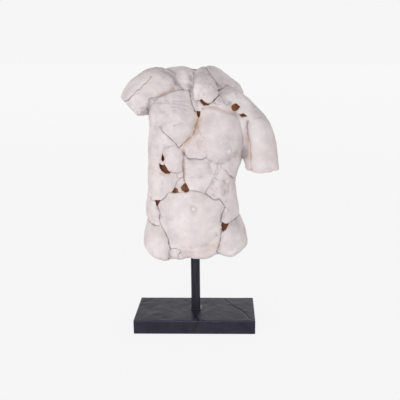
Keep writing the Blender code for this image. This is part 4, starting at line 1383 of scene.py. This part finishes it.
paint, paint_tree, paint_shader = start_material("satin black paint on steel")
place = add_node(paint_tree, "ShaderNodeTexCoord", {}, {}).outputs["Object"]
lengthways = add_node(paint_tree, "ShaderNodeMapping", {}, {"Vector": place, "Scale": (1.0, 1.0, 0.06)})
streaks = add_node(
    paint_tree, "ShaderNodeTexNoise", {}, {"Vector": lengthways.outputs[0], "Scale": 1 / 0.004, "Detail": 3.0}
)
paint_colour = lay_coats(paint_tree, PAINT_BLACK, (
    (streaks.outputs[0], 0.4, 0.75, 1.0, "LINEAR", PAINT_RUBBED),
))
peel = add_node(paint_tree, "ShaderNodeTexNoise", {}, {"Vector": place, "Scale": 1 / 0.0012, "Detail": 1.0})
rippled = add_node(
    paint_tree, "ShaderNodeBump", {}, {"Strength": 0.15, "Distance": 0.0002, "Height": peel.outputs[0]}
)
gloss = add_node(
    paint_tree, "ShaderNodeMapRange", {}, {"Value": streaks.outputs[0], "To Min": 0.36, "To Max": 0.5}
)
feed(paint_tree, paint_shader, {
    "Base Color": paint_colour, "Normal": rippled.outputs[0], "Roughness": gloss.outputs[0],
    "Specular IOR Level": 0.24,
})
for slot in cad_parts["rod"].material_slots:
    slot.material = paint
print("rod paint on", len(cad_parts["rod"].material_slots), "slot")

# %% [markdown]
# The slab
#
# The slab is a heavy cast block, painted matt black over a hand-worked top: shallow dents, brush
# marks and a few hairline cracks run across it, and a bead of glue closes the joint round the rod.
# Its six sides are grids of points. The corners are rounded by pulling each point to within one
# radius of a smaller block inside, and the top is then dented and cracked by a height.

# %% Slab: rounded block with a worked top
SLAB_EDGE = 1.6
SLAB_STEP = 1.25
# Size, height, seed
SLAB_DENTS = ((34.0, 0.45, 61), (12.0, 0.32, 62), (4.0, 0.10, 63))
# Line (x, y) on the top, half width, depth
SLAB_CRACKS = (
    (((57, 57), (60, 50), (73, 27), (83, 9), (96, -4), (102, -17), (111, -38), (119, -52)), 1.2, 1.2),
    (((-99, 57), (-99, 52), (-106, 41), (-119, 32)), 1.2, 1.1),
    (((-109, 46), (-118, 40), (-125, 37)), 1.0, 0.9),
    (((-87, -2), (-72, -4), (-52, -15), (-38, -24)), 0.9, 0.6),
    (((-108, -17), (-101, -32)), 0.7, 0.4),
    (((31, 14), (40, 18), (48, 8)), 0.7, 0.35),
    (((20, -21), (36, -38), (51, -50)), 0.7, 0.35),
    (((-1, -17), (3, -42), (8, -58)), 0.7, 0.5),
)
# Line (x, z) on the front face, and its half width and depth
FACE_CRACK = ((9, 30), (7, 23), (3, 16), (0, 8), (-2, 0))
FACE_CRACK_SIZE = (0.7, 0.6)
# The waves by which the slab's cracks stray have no even share, only a reach, a size and a seed
CRACK_STRAY = (0, 0.8, 6.0, 64)
# The dents and cracks fade out over this width at the rim
TOP_RIM = 2.0
GLUE_WIDTH = 3.0
GLUE_HEIGHT = 2.6
# Even share, uneven share, size and seed of the bead's height
GLUE_PATCHES = (0.8, 0.5, 5.0, 65)

slab_size = (base_high - base_low) / MM


def grid_lines(length):
    """Places along one side: a few close together over each rounded edge, and even steps between them."""
    half_length = length / 2
    turn = np.radians([0, 22.5, 45, 67.5])
    near = half_length - SLAB_EDGE + SLAB_EDGE * np.sin(turn)
    between = np.linspace(0, half_length - SLAB_EDGE, max(2, int(half_length / SLAB_STEP)))[:-1]
    positive = np.concatenate([between, near, [half_length]])
    return np.concatenate([-positive[:0:-1], positive])


def block_grids(size):
    """The points of a block's six sides: for each axis and end, a grid over the other two."""
    lines = [grid_lines(s) for s in size]
    grids = []
    for axis in range(3):
        u, v = [k for k in range(3) if k != axis]
        for end in (-0.5, 0.5):
            grid = np.zeros((len(lines[u]), len(lines[v]), 3))
            grid[..., u] = lines[u][:, None]
            grid[..., v] = lines[v][None, :]
            grid[..., axis] = end * size[axis]
            grids.append(grid)
    return grids


def rounded(points, size, radius):
    """The nearest point of a block smaller by the radius, plus one radius in the direction away from it."""
    half_size = np.array(size) / 2 - radius
    core = np.clip(points, -half_size, half_size)
    away = points - core
    return core + radius * away / np.linalg.norm(away, axis=1, keepdims=True)


def slab_top(x, y):
    """Dents as lumps, less a V for each crack, plus a bead that falls with the distance from the rod."""
    flat = np.column_stack([x, y, np.zeros_like(x)])
    height = sum(rise * lumps(flat, size, seed) for size, rise, seed in SLAB_DENTS)
    stray = patchy(flat, CRACK_STRAY)
    for line, width, depth in SLAB_CRACKS:
        height -= depth * np.clip(1 - distance_to(x + stray, y - stray, line) / width, 0, 1)
    from_rod = np.maximum(np.abs(x), np.abs(y - rod_middle)) - socket_half
    bead = GLUE_HEIGHT * patchy(flat, GLUE_PATCHES) * ease(1 - from_rod / GLUE_WIDTH)
    return height + bead


slab_points, slab_faces = [], []
for grid in block_grids(slab_size):
    rows, columns = grid.shape[:2]
    first = sum(map(len, slab_points)) + np.arange(rows * columns).reshape(rows, columns)
    corner = (first[:-1, :-1], first[1:, :-1], first[1:, 1:], first[:-1, 1:])
    slab_faces += np.stack(corner, axis=-1).reshape(-1, 4).tolist()
    slab_points.append(grid.reshape(-1, 3))
block = rounded(np.concatenate(slab_points), slab_size, SLAB_EDGE)
block[:, 2] += slab_size.z / 2
up = ease((block[:, 2] - slab_size.z + SLAB_EDGE) / SLAB_EDGE)
from_side = ease((slab_size.x / 2 - np.abs(block[:, 0])) / TOP_RIM)
from_front = ease((slab_size.y / 2 - np.abs(block[:, 1])) / TOP_RIM)
block[:, 2] += up * (from_side * from_front) * slab_top(block[:, 0], block[:, 1])
on_face = ease((-block[:, 1] - slab_size.y / 2 + SLAB_EDGE) / SLAB_EDGE)
face_gap = distance_to(block[:, 0], block[:, 2], FACE_CRACK)
block[:, 1] += on_face * FACE_CRACK_SIZE[1] * np.clip(1 - face_gap / FACE_CRACK_SIZE[0], 0, 1)

slab_mesh = bpy.data.meshes.new("slab")
slab_mesh.from_pydata(block.tolist(), [], slab_faces)
closed = bmesh.new()
closed.from_mesh(slab_mesh)
bmesh.ops.remove_doubles(closed, verts=closed.verts, dist=0.001)
# The squares of the worked top are bent, and only flat faces are cut cleanly, so each becomes two triangles
bmesh.ops.triangulate(closed, faces=closed.faces)
bmesh.ops.recalc_face_normals(closed, faces=closed.faces)
closed.to_mesh(slab_mesh)
closed.free()
print("slab:", len(slab_mesh.polygons), "faces")

# %% Cut the rod's socket into the slab
# The socket's prism ends well above the slab
SOCKET_END = 90.0

socket_floor = (rod_low.z - FIT_GAP) / MM
wall, caps = prism_faces(4, 0)
hole_mesh = bpy.data.meshes.new("hole")
hole_points = np.concatenate(
    [np.column_stack([socket_square, np.full(4, height)]) for height in (socket_floor, SOCKET_END)]
)
hole_mesh.from_pydata(hole_points.tolist(), [], wall + caps)
hole = bpy.data.objects.new("hole", hole_mesh)
scene.collection.objects.link(hole)
slab = bpy.data.objects.new("slab", slab_mesh)
scene.collection.objects.link(slab)
drill = slab.modifiers.new("socket", "BOOLEAN")
drill.operation = "DIFFERENCE"
drill.solver = "EXACT"
drill.object = hole
slab_mesh = apply_modifiers(slab)
bpy.data.objects.remove(hole)
bpy.data.meshes.remove(hole_mesh)
print("drilled:", len(slab_mesh.polygons), "faces")

# %% [markdown]
# Where the slab is dirty and worn
#
# Dust sits dark in the slab's cracks, and its paint is rubbed along the edges and over the top. Both
# amounts are kept with the points, as on the torso, for the paint to read. The slab then becomes
# metres and stands in for the CAD base, which carries the collisions.

# %% Amounts of dirt and wear for the slab
# The top is what lies less than this below the block's height, and an edge's wear ends above the floor
TOP_DEPTH = 3
WORN_ABOVE = 5
DIRT_WIDTH = 2.0
WEAR_WIDTH = 3.0
# Even share, uneven share, size and seed of the top's wear
TOP_PATCHES = (0.60, 0.20, 20.0, 66)
# Degrees between two faces, above which their edge stays sharp
SHARP_CORNER = 60

points = read_points(slab_mesh)
on_top = points[:, 2] > slab_size.z - TOP_DEPTH
gap = np.full(len(points), np.inf)
for line, _, _ in SLAB_CRACKS:
    gap = np.minimum(gap, distance_to(points[:, 0], points[:, 1], line))
gap = np.where(on_top, gap, distance_to(points[:, 0], points[:, 2], FACE_CRACK))
slab_half = np.array(slab_size) / 2
to_edge = np.sort(slab_half - np.abs(points - (0, 0, slab_half[2])), axis=1)[:, 1]
edge_wear = ease(1 - to_edge / WEAR_WIDTH) * (points[:, 2] > WORN_ABOVE)
write_attribute(slab_mesh, "dirt", ease(1 - gap / DIRT_WIDTH))
write_attribute(slab_mesh, "wear", np.maximum(edge_wear, on_top * patchy(points, TOP_PATCHES)))
slab_mesh.transform(Matrix.Diagonal((MM, MM, MM, 1)))
slab_mesh.shade_smooth()
slab_mesh.set_sharp_from_angle(angle=math.radians(SHARP_CORNER))
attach(slab, "root")
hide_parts("base")
print("slab box in mm:", [round(v * 1000, 1) for v in slab.dimensions])

# %% [markdown]
# Matt black paint on the slab
#
# The paint is brushed on thin over the cast block, matt, with a violet tinge, and it has rubbed
# through to grey along the edges and on the high spots of the top. The eye sees it as slate.

# %% Slab material
SLAB_BLACK = linear("#13101E")
SLAB_GREY = linear("#231F30")
SLAB_RUBBED = linear("#58536A")
SLAB_CRACK = linear("#08070C")

slate, slate_tree, slate_shader = start_material("worn matt black paint on cast stone")
place = add_node(slate_tree, "ShaderNodeTexCoord", {}, {}).outputs["Object"]
clouds = add_node(
    slate_tree, "ShaderNodeTexNoise", {},
    {"Vector": place, "Scale": 1 / 0.028, "Detail": 5.0, "Roughness": 0.6},
)
flecks = add_node(slate_tree, "ShaderNodeTexNoise", {}, {"Vector": place, "Scale": 1 / 0.0022, "Detail": 3.0})
wear_here = add_node(slate_tree, "ShaderNodeAttribute", {"attribute_name": "wear"}, {})
wear_broken = add_node(
    slate_tree, "ShaderNodeMath", {"operation": "MULTIPLY"},
    {0: wear_here.outputs["Fac"], 1: flecks.outputs[0]},
)
crack_here = add_node(slate_tree, "ShaderNodeAttribute", {"attribute_name": "dirt"}, {})
slate_colour = lay_coats(slate_tree, SLAB_BLACK, (
    (clouds.outputs[0], 0.35, 0.7, 1.0, "LINEAR", SLAB_GREY),
    (wear_broken.outputs[0], 0.25, 0.6, 0.7, "LINEAR", SLAB_RUBBED),
    (crack_here.outputs["Fac"], 0.0, 1.0, 1.0, "LINEAR", SLAB_CRACK),
))
brushed = add_node(
    slate_tree, "ShaderNodeBump", {}, {"Strength": 0.5, "Distance": 0.0008, "Height": clouds.outputs[0]}
)
grained = add_node(
    slate_tree, "ShaderNodeBump", {},
    {"Strength": 0.3, "Distance": 0.0003, "Height": flecks.outputs[0], "Normal": brushed.outputs[0]},
)
feed(slate_tree, slate_shader, {
    "Base Color": slate_colour, "Normal": grained.outputs[0], "Roughness": 0.34, "Specular IOR Level": 0.28,
})
slab_mesh.materials.append(slate)
print("slab paint:", len(slate_tree.nodes), "nodes")
